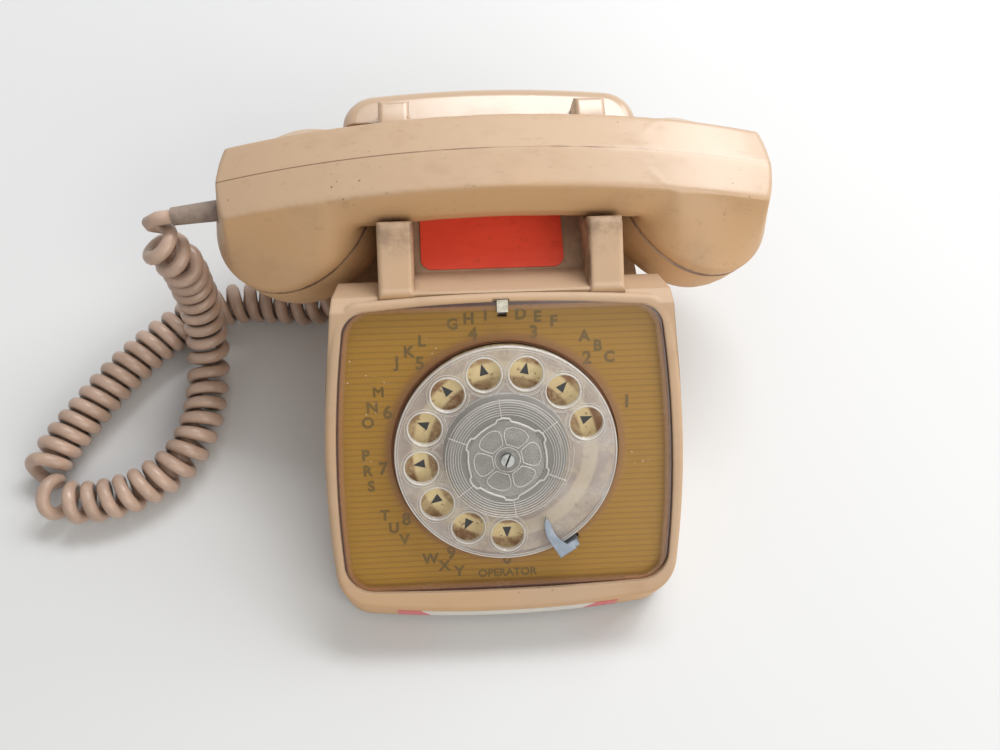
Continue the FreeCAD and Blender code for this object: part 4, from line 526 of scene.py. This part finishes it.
brass_finish = Finish("brass", Metallic=1.0)
tarnish = brass_finish.between(brass_finish.noise(90, 4), 0.4, 0.75)
brass_finish.set("Base Color", brass_finish.mix(tarnish, (0.72, 0.52, 0.20), (0.38, 0.26, 0.10)))
brass_finish.set("Roughness", 0.24 + 0.3 * tarnish)
dress(brass_finish, "main_gear", "intermediate_gear", "governor_shaft", "governor_weights", "gong_left",
      "gong_right", "network_terminals")

nylon_finish = mottled("white nylon", (80, 3), (0.72, 0.70, 0.62), (0.64, 0.61, 0.52), Roughness=0.45)
dress(nylon_finish, "pulse_cam", "volume_wheel")

board_finish = mottled("brown insulator", (260, 4, 0.7), (0.13, 0.065, 0.03), (0.20, 0.11, 0.05),
                       Roughness=0.5)
dress(board_finish, "pulse_contacts", "hook_contacts", "network_block", "contact_cup")

winding_finish = Finish("enamelled winding", Roughness=0.3)
strands = winding_finish.node("ShaderNodeTexWave", {"bands_direction": "X"},
                              {"Vector": winding_finish.place, "Scale": 900.0})
winding_finish.set("Base Color", winding_finish.mix(strands, (0.20, 0.05, 0.02), (0.36, 0.11, 0.04)))
dress(winding_finish, "ringer_coil")

rubber_finish = Finish("black rubber", Roughness=0.8)
rubber_dust = rubber_finish.between(rubber_finish.noise(120, 4), 0.45, 0.7)
rubber_finish.set("Base Color", rubber_finish.mix(rubber_dust, (0.018, 0.017, 0.016), (0.05, 0.045, 0.04)))
dress(rubber_finish, "rubber_feet", "line_inlet")

capsule_finish = Finish("capsule aluminium", Metallic=1.0)
lathe_lines = capsule_finish.noise(300, 3)
capsule_finish.set("Base Color", capsule_finish.mix(lathe_lines, (0.62, 0.62, 0.62), (0.50, 0.50, 0.50)))
capsule_finish.set("Roughness", 0.3 + 0.2 * lathe_lines)
dress(capsule_finish, "transmitter_unit", "receiver_unit")

lead_finish = mottled("lead insulation", (150, 3), (0.04, 0.10, 0.03), (0.06, 0.14, 0.05), Roughness=0.45)
dress(lead_finish, "internal_leads")


# Faceplate with the card behind it
# A clear amber moulding over a ribbed card, with a thick bevelled edge whose pinkish light is a painted
# sheen, side walls in painted shade and a painted shadow line in the gap round it. Fine ribs run across the
# card and the figures are printed on it. The plate is dusty, with a few pale specks.
# Sizes on the face are in millimetres: u to the right, v up the slope, w out of it.
face_turn = math.radians(35)
face_point = (0, -0.0487, 0.0607)
face_frame = Matrix.Translation(face_point) @ Matrix.Rotation(face_turn, 4, "X")
face_up = face_frame.to_3x3() @ Vector((0, 1, 0))
face_out = face_frame.to_3x3() @ Vector((0, 0, 1))
face_middle = face_frame.translation
plate_half_middle = 66.95
plate_widest_v = -18.0
plate_centre_v = 0.6
plate_narrowing = 0.00115
plate_half_height = 59.2
plate_corner = 11.0
opening_radius = 46.2
card_top_w = -2.7 * MM


def radial(finish):
    """Distance of a point from the axis of the dial."""
    u = finish.axis((1, 0, 0))
    v = finish.axis(tuple(face_up), tuple(face_middle))
    return (u * u + v * v).math("SQRT")


def edge_distance(finish):
    """How far inside the outline of the faceplate a point lies, up to a corner radius. In millimetres."""
    u = finish.axis((1, 0, 0)) / MM
    v = finish.axis(tuple(face_up), tuple(face_middle)) / MM
    below = v - plate_widest_v
    half = plate_half_middle - plate_narrowing * below * below
    side = (abs(u) - half + plate_corner).math("MAXIMUM", 0.0)
    end = (abs(v - plate_centre_v) - (plate_half_height - plate_corner)).math("MAXIMUM", 0.0)
    return plate_corner - (side * side + end * end).math("SQRT")


plate_finish = Finish("clear amber", Coat_Weight=0.25, Coat_Roughness=0.12)
dust = plate_finish.between(plate_finish.noise(70, 5, 0.7), 0.45, 0.8)
speck_zone = plate_finish.between(plate_finish.noise(34, 2), 0.62, 0.68)
plate_speck = plate_finish.between(plate_finish.cells(420.0), 0.13, 0.06) * speck_zone
plate_edge = edge_distance(plate_finish)
# Painted sheen: a pinkish tone along the bevelled edge, where it catches the light.
bevel_pink_sheen = plate_finish.between(plate_edge, 3.4, 1.6)
# Painted shadow: a near-black line in the gap along the outline of the plate.
gap_shadow_rim = plate_finish.between(plate_edge, 1.0, 0.5)
plate_radius = radial(plate_finish)
hole_band = plate_finish.between(plate_radius, 50.0 * MM, 46.5 * MM)
# Painted shade: the side walls of the plate are dark reddish brown.
plate_wall_shade = plate_finish.between(abs(plate_finish.facing(tuple(face_out))), 0.9, 0.5)
plate_colour = plate_finish.mix(dust * 0.5, (0.42, 0.22, 0.028), (0.46, 0.28, 0.08))
plate_colour = plate_finish.mix(hole_band * 0.6, plate_colour, (0.42, 0.20, 0.11))
plate_colour = plate_finish.mix(bevel_pink_sheen * 0.8, plate_colour, (0.42, 0.205, 0.105))
plate_colour = plate_finish.mix(plate_wall_shade, plate_colour, (0.26, 0.10, 0.05))
plate_colour = plate_finish.mix(gap_shadow_rim, plate_colour, (0.065, 0.022, 0.013))
plate_colour = plate_finish.mix(plate_speck, plate_colour, (0.85, 0.80, 0.68))
plate_finish.set("Base Color", plate_colour)
plate_haze = 0.10 + 0.08 * dust + 0.08 * hole_band + 0.38 * bevel_pink_sheen + 0.25 * plate_wall_shade
plate_alpha = plate_haze + 0.6 * gap_shadow_rim + plate_speck
plate_finish.set("Alpha", plate_alpha.math("MINIMUM", 1.0))
plate_finish.set("Roughness", 0.2 + 0.25 * dust)
dress(plate_finish, "faceplate")

card_finish = Finish("amber card", Roughness=0.55)
card_cloud = card_finish.noise(16, 3)
card_colour = card_finish.mix(card_cloud, (0.39, 0.212, 0.024), (0.34, 0.180, 0.019))
card_hole = card_finish.between(radial(card_finish), 49.0 * MM, 46.3 * MM)
card_finish.set("Base Color", card_finish.mix(card_hole * 0.7, card_colour, (0.20, 0.085, 0.03)))
dress(card_finish, "faceplate_card")


rib_pitch = 2.45
rib_lowest = -56.3
rib_highest = 58.0
rib_width = 0.55
rib_height = 0.12
rib_margin = 1.0


def rib_half(v):
    """Half length of a rib at a height v of the face, inside the rounded outline of the faceplate."""
    half = plate_half_middle - plate_narrowing * (v - plate_widest_v) ** 2
    into = max(abs(v - plate_centre_v) - (plate_half_height - plate_corner), 0)
    return half - rib_margin - (plate_corner - math.sqrt(max(plate_corner ** 2 - into ** 2, 0)))


rib_form = bmesh.new()
rib_v = rib_lowest
while rib_v < rib_highest:
    half = rib_half(rib_v)
    inner = math.sqrt(max(opening_radius ** 2 - rib_v ** 2, 0))
    spans = [(-half, half)] if inner == 0 else [(-half, -inner), (inner, half)]
    for start, end in spans:
        rib = bmesh.ops.create_cube(rib_form, size=1.0)["verts"]
        bmesh.ops.scale(rib_form, verts=rib, vec=((end - start) * MM, rib_width * MM, rib_height * MM))
        rib_middle = ((start + end) / 2 * MM, rib_v * MM, card_top_w + rib_height / 2 * MM)
        bmesh.ops.translate(rib_form, verts=rib, vec=rib_middle)
    rib_v += rib_pitch
bmesh.ops.transform(rib_form, matrix=face_frame, verts=rib_form.verts)
rib_mesh = bpy.data.meshes.new("card_ribs")
rib_form.to_mesh(rib_mesh)
rib_form.free()
rib_finish = mottled("amber ribs", (30, 3), (0.26, 0.134, 0.016), (0.30, 0.154, 0.019), Roughness=0.5)
show("card_ribs", rib_mesh, "base", rib_finish)

ink_finish = mottled("olive ink", (140, 4), (0.075, 0.056, 0.019), (0.110, 0.080, 0.027), Roughness=0.6)
capital_share = 0.7
usual_weight = 0.00024
print_weights = {"M": 0.0, "OPERATOR": 0.00012}


def letter_mesh(words, height, u, v, w, thickness):
    """Printed characters centred at a place of the sloped face."""
    curve = bpy.data.curves.new("letters", "FONT")
    curve.body = words
    curve.size = height / capital_share
    curve.align_x = "CENTER"
    curve.align_y = "CENTER"
    curve.extrude = thickness / 2
    curve.offset = print_weights.get(words, usual_weight)
    curve.resolution_u = 4
    carrier = bpy.data.objects.new("letters", curve)
    bpy.context.scene.collection.objects.link(carrier)
    mesh = bpy.data.meshes.new_from_object(carrier)
    bpy.data.objects.remove(carrier)
    bpy.data.curves.remove(curve)
    low = min(vertex.co.y for vertex in mesh.vertices)
    high = max(vertex.co.y for vertex in mesh.vertices)
    centring = Matrix.Translation((0, -(low + high) / 2, 0))
    mesh.transform(face_frame @ Matrix.Translation((u, v, w + thickness / 2)) @ centring)
    return mesh


def merged(name, meshes):
    """One mesh from several."""
    form = bmesh.new()
    for mesh in meshes:
        form.from_mesh(mesh)
        bpy.data.meshes.remove(mesh)
    result = bpy.data.meshes.new(name)
    form.to_mesh(result)
    form.free()
    return result


hole_first = 20.8
hole_step = 27.66
letter_groups = ["", "ABC", "DEF", "GHI", "JKL", "MNO", "PRS", "TUV", "WXY", "OPERATOR"]
ink_thickness = 0.16 * MM
figure_height = 5.0 * MM
usual_figure_radius = 49.2
figure_radii = {0: 52.0, 9: 46.9}
letter_height = 4.2 * MM
letter_radius = 55.5
letter_step = 6.8
letter_m_strokes = (-0.15, 0.15)
operator_height = 3.3 * MM
operator_u = -0.2
operator_v = -53.2
prints = []
for index, letters in enumerate(letter_groups):
    angle = hole_first + hole_step * index
    figure_radius = figure_radii.get(index, usual_figure_radius) * MM
    figure = str((index + 1) % 10)
    prints.append(letter_mesh(figure, figure_height, figure_radius * math.cos(math.radians(angle)),
                              figure_radius * math.sin(math.radians(angle)), card_top_w, ink_thickness))
    if letters == "OPERATOR":
        prints.append(letter_mesh(letters, operator_height, operator_u * MM, operator_v * MM, card_top_w,
                                  ink_thickness))
        continue
    clockwise = -1 if index <= 4 else 1
    for place, letter in enumerate(letters):
        turn = math.radians(angle + clockwise * letter_step * (place - 1))
        for shift in (letter_m_strokes if letter == "M" else (0,)):
            prints.append(letter_mesh(letter, letter_height, (letter_radius * math.cos(turn) + shift) * MM,
                                      letter_radius * MM * math.sin(turn), card_top_w, ink_thickness))
show("figures", merged("figures", prints), "base", ink_finish)


# Surround of the dial
# A narrow brown rim on the back of the card, which closes the gap round the number plate.
surround_profile = ((44.0, -2.7), (44.3, -2.7), (44.3, -3.75), (47.5, -3.75), (47.5, -3.95), (44.0, -3.95))
surround_steps = 128


def spun(form, profile, steps):
    """Turns a closed profile of (radius, height) points in millimetres into a ring about the dial's axis."""
    spots = [form.verts.new((radius * MM, 0, height * MM)) for radius, height in profile]
    lines = [form.edges.new(pair) for pair in zip(spots, spots[1:] + spots[:1])]
    bmesh.ops.spin(form, geom=spots + lines, cent=(0, 0, 0), axis=(0, 0, 1), angle=2 * math.pi,
                   steps=steps, use_merge=True)


def face_piece(form, name, smooth_shading=True):
    """A mesh made in the sloped frame, moved to its place."""
    bmesh.ops.remove_doubles(form, verts=form.verts, dist=1e-6)
    bmesh.ops.transform(form, matrix=face_frame, verts=form.verts)
    bmesh.ops.recalc_face_normals(form, faces=form.faces)
    for face in form.faces:
        face.smooth = smooth_shading
    mesh = bpy.data.meshes.new(name)
    form.to_mesh(mesh)
    form.free()
    return mesh


surround_form = bmesh.new()
spun(surround_form, surround_profile, surround_steps)
surround_finish = mottled("brown rim", (120, 4), (0.34, 0.15, 0.07), (0.24, 0.10, 0.045), Roughness=0.6)
show("dial_surround", face_piece(surround_form, "dial_surround", smooth_shading=False), "base",
     surround_finish)


# Latch of the faceplate
# A small plated steel tab at the top edge, dulled to off-white. Its tongue runs on under the ledge and closes
# the notch that the tab slides in.
latch_finish = Finish("dulled plate", Metallic=0.2, Roughness=0.45)
latch_wear = latch_finish.between(latch_finish.noise(500, 4), 0.4, 0.7)
latch_finish.set("Base Color", latch_finish.mix(latch_wear, (0.62, 0.60, 0.50), (0.42, 0.40, 0.32)))
latch_finish.rounded(0.35 * MM)
dress(latch_finish, "faceplate_latch")

tongue_size = (6.0, 6.2, 0.4)
tongue_middle = (-0.3, 57.1, -6.5)
tongue_edge = 0.1
tongue_form = bmesh.new()
tongue = bmesh.ops.create_cube(tongue_form, size=1.0)["verts"]
bmesh.ops.scale(tongue_form, verts=tongue, vec=tuple(side * MM for side in tongue_size))
bmesh.ops.translate(tongue_form, verts=tongue, vec=tuple(place * MM for place in tongue_middle))
bmesh.ops.bevel(tongue_form, geom=tongue_form.edges, offset=tongue_edge * MM, segments=1, affect="EDGES",
                profile=0.5, material=-1)
bmesh.ops.transform(tongue_form, matrix=face_frame, verts=tongue_form.verts)
tongue_mesh = bpy.data.meshes.new("latch_tongue")
tongue_form.to_mesh(tongue_mesh)
tongue_form.free()
show("latch_tongue", tongue_mesh, "latch", latch_finish)


# Number plate with its arrowheads
# A cream painted disc under the finger wheel. Crescents of fingertip dirt and painted shadow darken it under
# the holes.
number_finish = Finish("cream paint", Roughness=0.5)
number_radius = radial(number_finish)
stain = number_finish.between(number_finish.noise(130, 5, 0.75), 0.36, 0.60)
patch = number_finish.between(number_finish.noise(34, 2), 0.36, 0.60)
# Fingertip dirt and painted shadow: dark rings just inside and outside the circle of holes.
inner_dirt_and_shadow = number_finish.between(number_radius, 31.7 * MM, 30.2 * MM)
outer_dirt_and_shadow = number_finish.between(number_radius, 36.2 * MM, 37.7 * MM)
dots = number_finish.between(number_finish.noise(420, 3, 0.6), 0.60, 0.68)
number_colour = number_finish.mix(stain * 0.30, (0.74, 0.60, 0.33), (0.44, 0.29, 0.13))
dirt_and_shadow_share = (inner_dirt_and_shadow + outer_dirt_and_shadow) * (0.6 + 0.4 * patch) * (0.55 + 0.6 * stain)
number_colour = number_finish.mix(dirt_and_shadow_share.math("MINIMUM", 1.0) * 0.95, number_colour, (0.20, 0.088, 0.032))
number_colour = number_finish.mix(dots * 0.6, number_colour, (0.13, 0.058, 0.022))
under_dome = number_finish.between(number_radius, 25.2 * MM, 24.4 * MM)
number_colour = number_finish.mix(under_dome, number_colour, (0.17, 0.165, 0.155))
number_finish.set("Base Color", number_colour)
dress(number_finish, "number_plate")

arrow_finish = mottled("black print", (500, 3), (0.012, 0.014, 0.015), (0.03, 0.032, 0.034), Roughness=0.5)
dress(arrow_finish, "number_arrows")


# Finger wheel
# Clear moulding, slightly milky with age, with a polished edge round each hole and a scalloped web inside
# them; the walls of the holes and rim have a painted pale sheen. Its raised middle has fine rings, a
# six-sided recess and a clear cap over a flower-shaped washer. The ridges and lines are pale with painted
# glints.
wheel_finish = Finish("clear wheel", Coat_Weight=0.5, Coat_Roughness=0.06)
wheel_haze = wheel_finish.between(wheel_finish.noise(60, 4, 0.6), 0.35, 0.75)
wheel_radius = radial(wheel_finish)
in_dome = wheel_finish.between(wheel_radius, 25.6 * MM, 24.9 * MM)
# Painted sheen: the walls of the holes and of the rim are pale and more opaque.
wheel_wall_sheen = wheel_finish.between(abs(wheel_finish.facing(tuple(face_out))), 0.97, 0.6)
dome_wall = wheel_finish.between(abs(wheel_radius - 24.7 * MM), 2.6 * MM, 2.1 * MM)
wheel_wall_sheen = wheel_wall_sheen * (1 - dome_wall)
wheel_colour = wheel_finish.mix(wheel_haze, (0.60, 0.555, 0.52), (0.70, 0.665, 0.64))
wheel_colour = wheel_finish.mix(in_dome, wheel_colour, (0.50, 0.485, 0.46))
wheel_colour = wheel_finish.mix(wheel_wall_sheen, wheel_colour, (0.80, 0.78, 0.74))
wheel_finish.set("Base Color", wheel_colour)
wheel_finish.set("Alpha", 0.27 + 0.12 * wheel_haze - 0.04 * in_dome + 0.22 * wheel_wall_sheen)
wheel_finish.set("Roughness", 0.14 + 0.12 * wheel_haze)
dress(wheel_finish, "finger_wheel", "centre_cap", "centre_rosette")

wheel_top_w = 4.0
dome_top_w = 9.0
hole_circle = 33.8
ridge_rise = 0.8
ridge_shoulder = 0.55
ridge_shoulder_rise = 0.8
ridge_root = 0.3


def ridge(form, radius, height, half_width, steps, centre=(0, 0)):
    """A ring with a rounded top that stands a little out of the surface at the given height."""
    before = set(form.verts)
    rise = half_width * ridge_rise
    shoulder = half_width * ridge_shoulder
    shoulder_top = height + rise * ridge_shoulder_rise
    spun(form, [(radius - half_width, height - ridge_root), (radius - shoulder, shoulder_top),
                (radius, height + rise), (radius + shoulder, shoulder_top),
                (radius + half_width, height - ridge_root)], steps)
    fresh = [vertex for vertex in form.verts if vertex not in before]
    bmesh.ops.translate(form, verts=fresh, vec=(centre[0] * MM, centre[1] * MM, 0))


def face_line(points, w, thickness):
    """A fine raised line through (u, v) points of the sloped face, in millimetres."""
    path = [face_frame @ (Vector((u, v, w)) * MM) for u, v in points]
    return tube_mesh("line", path, thickness / 2 * MM, 1)


def arc_points(radius, first, last, count, centre=(0, 0)):
    """Points (u, v) along an arc, in millimetres and degrees."""
    spots = []
    for index in range(count + 1):
        angle = math.radians(first + (last - first) * index / count)
        spots.append((centre[0] + radius * math.cos(angle), centre[1] + radius * math.sin(angle)))
    return spots


# Milky, with a pale colour that paints the glints on the ridges and lines of the clear moulding.
ring_finish = Finish("clear ridges", Coat_Weight=0.5, Coat_Roughness=0.05, Roughness=0.10)
ring_haze_and_glint = ring_finish.noise(90, 3)
ring_finish.set("Base Color", ring_finish.mix(ring_haze_and_glint, (0.66, 0.64, 0.60), (0.84, 0.82, 0.78)))
ring_finish.set("Alpha", 0.35 + 0.35 * ring_haze_and_glint)

ring_steps = 128
wheel_rings = ((43.6, 3.8, 0.30), (42.6, wheel_top_w, 0.14), (25.4, wheel_top_w, 0.16))
hole_count = 10
hole_ring_steps = 40
hole_rings = ((6.85, 0.42), (8.0, 0.12))
rim_form = bmesh.new()
for radius, height, half_width in wheel_rings:
    ridge(rim_form, radius, height, half_width, ring_steps)
hole_places = []
for index in range(hole_count):
    degrees = hole_first + hole_step * index
    angle = math.radians(degrees)
    centre = (hole_circle * math.cos(angle), hole_circle * math.sin(angle))
    hole_places.append((degrees, centre))
    for radius, half_width in hole_rings:
        ridge(rim_form, radius, wheel_top_w, half_width, hole_ring_steps, centre)
show("wheel_rims", face_piece(rim_form, "wheel_rims"), "dial", ring_finish)

dome_ring_count = 7
dome_ring_first = 18.2
dome_ring_pitch = 0.98
dome_ring_half_width = 0.16
dome_ring_steps = 96
dome_form = bmesh.new()
for index in range(dome_ring_count):
    radius = dome_ring_first + index * dome_ring_pitch
    ridge(dome_form, radius, dome_top_w, dome_ring_half_width, dome_ring_steps)
show("dome_rings", face_piece(dome_form, "dome_rings"), "dial", ring_finish)

web_thickness = 0.34
scallop_radius = 8.6
scallop_reach = 52
scallop_steps = 12
blank_radius = 26.6
blank_first = hole_first - hole_step - 50
blank_last = hole_first - 16
web_lines = []
for degrees, centre in hole_places:
    first = degrees + 180 - scallop_reach
    last = degrees + 180 + scallop_reach
    scallop = arc_points(scallop_radius, first, last, scallop_steps, centre)
    web_lines.append(face_line(scallop, wheel_top_w, web_thickness))
web_lines.append(face_line(arc_points(blank_radius, blank_first, blank_last, 24), wheel_top_w, web_thickness))
show("web_lines", merged("web_lines", web_lines), "dial", ring_finish)

crown_side = ((15.3, -24), (15.6, -11), (16.7, -8), (17.0, 0), (16.7, 8), (15.6, 11), (15.3, 24))
crown_first = 95
crown_thickness = 0.85
spoke_first = 97
spoke_inner = 17.2
spoke_outer = 24.6
spoke_thickness = 0.4
crown = []
for index in range(6):
    for radius, turn in crown_side:
        angle = math.radians(crown_first + 60 * index + turn)
        crown.append((radius * math.cos(angle), radius * math.sin(angle)))
crown.append(crown[0])
dome_lines = [face_line(crown, dome_top_w, crown_thickness)]
for index in range(6):
    turn = math.radians(spoke_first + 60 * index)
    spoke = [(radius * math.cos(turn), radius * math.sin(turn)) for radius in (spoke_inner, spoke_outer)]
    dome_lines.append(face_line(spoke, dome_top_w, spoke_thickness))
show("dome_lines", merged("dome_lines", dome_lines), "dial", ring_finish)

petal_side = ((5.9, 12), (6.2, 23), (8.0, 26), (10.0, 26.5), (11.5, 25), (12.4, 21), (12.9, 14), (13.1, 7))
petal_outline = [(5.8, 0)] + list(petal_side) + [(13.1, 0)]
petal_outline += [(radius, -turn) for radius, turn in reversed(petal_side)] + [(5.8, 0)]
petal_first = 10
petal_radius = 0.22
hub_radius = 5.0
hub_thickness = 0.4
cap_flat_radius = 3.0
cap_bend_radius = 8.9
cap_top_w = 9.25
cap_bend_w = 8.95
cap_inner_drop = 0.3
cap_outer_drop = 0.7
cap_slope_width = 5.9


def cap_surface(radius):
    """Height of the clear cap at a distance from the dial's axis. In millimetres."""
    if radius < cap_bend_radius:
        return cap_top_w - cap_inner_drop * max(radius - cap_flat_radius, 0) / cap_slope_width
    return cap_bend_w - cap_outer_drop * (radius - cap_bend_radius) / cap_slope_width


flower_lines = []
for index in range(6):
    petal = []
    for radius, turn in petal_outline:
        angle = math.radians(petal_first + 60 * index + turn)
        spot = Vector((radius * math.cos(angle), radius * math.sin(angle), cap_surface(radius)))
        petal.append(face_frame @ (spot * MM))
    flower_lines.append(tube_mesh("petal", petal, petal_radius * MM, 1))
flower_lines.append(face_line(arc_points(hub_radius, 0, 360, 24), cap_surface(hub_radius), hub_thickness))
show("flower_lines", merged("flower_lines", flower_lines), "dial", ring_finish)

screw_finish = Finish("grey screw", Metallic=0.5, Roughness=0.4)
screw_mark = screw_finish.between(screw_finish.noise(400, 3), 0.4, 0.7)
screw_colour = screw_finish.mix(screw_mark, (0.40, 0.41, 0.41), (0.28, 0.28, 0.27))
slot_shade = screw_finish.between(screw_finish.corners(1.5 * MM), 0.10, 0.35)
screw_finish.set("Base Color", screw_finish.mix(slot_shade, screw_colour, (0.015, 0.013, 0.012)))
dress(screw_finish, "centre_screw")


# Finger stop
# Blue-grey plated spring steel, bent over the edge of the opening and ground to a hook.
stop_finish = Finish("blue grey steel", Metallic=0.55)
stop_wear = stop_finish.between(stop_finish.noise(160, 5, 0.65), 0.4, 0.7)
stop_finish.set("Base Color", stop_finish.mix(stop_wear, (0.21, 0.25, 0.305), (0.33, 0.375, 0.43)))
stop_finish.set("Roughness", 0.34 + 0.2 * stop_wear)
stop_finish.rounded(0.5 * MM)
dress(stop_finish, "finger_stop")


# Red card and the label on the front wall
# The card is satin printed paper lying on the ledge of the cradle, left plain. The label is a thin white
# sticker with slanted pink ends, also left plain.
red_finish = Finish("red card", Roughness=0.38, Specular_IOR_Level=0.35)
red_cloud = red_finish.between(red_finish.noise(60, 5, 0.6, (0.4, 1, 1)), 0.35, 0.7)
red_smudge = red_finish.between(red_finish.noise(180, 5, 0.7), 0.55, 0.72)
red_colour = red_finish.mix(red_cloud, (1.0, 0.105, 0.056), (0.90, 0.082, 0.044))
red_finish.set("Base Color", red_finish.mix(red_smudge * 0.30, red_colour, (0.34, 0.022, 0.014)))
dress(red_finish, "number_card")

label_finish = Finish("white sticker", Roughness=0.4)
label_cloud = label_finish.noise(50, 4)
label_x = label_finish.axis((1, 0, 0))
label_z = label_finish.axis((0, 0, 1))
pink_end = label_finish.between(abs(label_x) - label_z * 0.3, 30.2 * MM, 30.6 * MM)
label_colour = label_finish.mix(label_cloud, (0.72, 0.70, 0.64), (0.62, 0.60, 0.54))
label_finish.set("Base Color", label_finish.mix(pink_end, label_colour, (0.62, 0.13, 0.14)))
dress(label_finish, "front_label")


# Handset
# Two beige mouldings joined along the ridge of the grip, with a screw cap under each end. The bowls run into
# the grip in soft hollows. The parting line and the seams of the caps are dark with dirt. The top of the
# right end has kept its polish.
handset_turn = math.radians(0.6)
handset_shift = 0.8
handset_y = 53.6
seam_x = 82.5
seam_z = 76.5
seam_tilt = math.radians(24)
voxel = 0.9 * MM
seam_guard = 2.0
light_smoothing = 3
hollow_bend = 0.035
hollow_rings = 5
hollow_smoothing = 60


def soft_moulding(node, name):
    """A copy of the shell's mesh with its sharp joins worn and its hollows filled out in a soft curve."""
    form = bmesh.new()
    form.from_mesh(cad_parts[node].data)
    bmesh.ops.remove_doubles(form, verts=form.verts, dist=1e-6)
    mesh = bpy.data.meshes.new(name)
    form.to_mesh(mesh)
    form.free()
    carrier = bpy.data.objects.new(name, mesh)
    bpy.context.scene.collection.objects.link(carrier)
    remesh = carrier.modifiers.new("even", "REMESH")
    remesh.mode = "VOXEL"
    remesh.voxel_size = voxel
    graph = bpy.context.evaluated_depsgraph_get()
    even = bpy.data.meshes.new_from_object(carrier.evaluated_get(graph))
    bpy.data.objects.remove(carrier)
    bpy.data.meshes.remove(mesh)
    form = bmesh.new()
    form.from_mesh(even)
    free = []
    for vertex in form.verts:
        along = abs(vertex.co.x / MM - handset_shift) - seam_x
        depth = along * math.sin(seam_tilt) + (vertex.co.z / MM - seam_z) * math.cos(seam_tilt)
        if depth > seam_guard:
            free.append(vertex)
    for step in range(light_smoothing):
        bmesh.ops.smooth_vert(form, verts=free, factor=0.5, use_axis_x=True, use_axis_y=True, use_axis_z=True)
    form.normal_update()
    hollow = set()
    for vertex in free:
        bend = 0.0
        for edge in vertex.link_edges:
            bend += (edge.other_vert(vertex).co - vertex.co).dot(vertex.normal)
        if bend / len(vertex.link_edges) > hollow_bend * voxel:
            hollow.add(vertex)
    allowed = set(free)
    for step in range(hollow_rings):
        grown = set(hollow)
        for vertex in hollow:
            for edge in vertex.link_edges:
                grown.add(edge.other_vert(vertex))
        hollow = grown & allowed
    worn = [vertex for vertex in free if vertex in hollow]
    for step in range(hollow_smoothing):
        bmesh.ops.smooth_vert(form, verts=worn, factor=0.5, use_axis_x=True, use_axis_y=True, use_axis_z=True)
    for face in form.faces:
        face.smooth = True
    form.to_mesh(even)
    form.free()
    even.name = name
    return even


# The moulding finish paints a warm shade tint on faces turned forward and down, and dirt with painted shade
# in corners.
handset_finish, handset_colour, handset_rough = beige_moulding("handset moulding", 4.0 * MM, 0.6)
along_grip = handset_finish.axis((1, 0, 0), (handset_shift * MM, 0, 0))
across_grip = handset_finish.axis((-math.sin(handset_turn), math.cos(handset_turn), 0),
                                  (handset_shift * MM, handset_y * MM, 0))
on_top = handset_finish.between(handset_finish.facing((0, 0, 1)), 0.5, 0.7)
line_wear = handset_finish.between(handset_finish.noise(40, 4, 0.6) - 2.5 * along_grip, 0.38, 0.55)
parting = handset_finish.between(abs(across_grip), 0.34 * MM, 0.16 * MM) * on_top
line_share = parting * (0.25 + 0.6 * line_wear)
handset_colour = handset_finish.mix(line_share, handset_colour, (0.16, 0.085, 0.045))
seam_depth = ((abs(along_grip) - seam_x * MM) * math.sin(seam_tilt)
              + handset_finish.axis((0, 0, math.cos(seam_tilt)), (0, 0, seam_z * MM)))
on_bowl = handset_finish.between(abs(along_grip), 40.0 * MM, 44.0 * MM)
seam_dirt = handset_finish.between(abs(seam_depth), 0.95 * MM, 0.40 * MM) * on_bowl
seam_patch = handset_finish.between(handset_finish.noise(60, 3), 0.35, 0.6)
seam_share = seam_dirt * (0.45 + 0.5 * seam_patch)
handset_colour = handset_finish.mix(seam_share, handset_colour, (0.14, 0.066, 0.032))
scuff = handset_finish.between(handset_finish.noise(130, 5, 0.7, (1, 2.6, 1)), 0.58, 0.70)
handset_colour = handset_finish.mix(scuff * 0.22, handset_colour, (0.24, 0.145, 0.085))
handset_finish.set("Base Color", handset_colour)
polished_end = handset_finish.between(along_grip, 25.0 * MM, 90.0 * MM) * on_top
handset_finish.set("Roughness", handset_rough - 0.22 * polished_end)
handset_finish.set("Coat Weight", 0.6 * polished_end)
dress(handset_finish, "transmitter_cap", "receiver_cap", "plunger_left", "plunger_right")
show("handset_moulding", soft_moulding("handset_shell", "handset_moulding"), "handset",
     handset_finish, ["handset_shell"])


# Strain reliefs
# Soft vinyl sleeves moulded onto the ends of the cord.
relief_finish = Finish("relief vinyl", Roughness=0.5)
relief_dirt = relief_finish.between(relief_finish.noise(150, 5, 0.65), 0.4, 0.7)
relief_finish.set("Base Color", relief_finish.mix(relief_dirt, (0.27, 0.205, 0.165), (0.17, 0.125, 0.10)))
dress(relief_finish, "handset_relief", "base_relief")
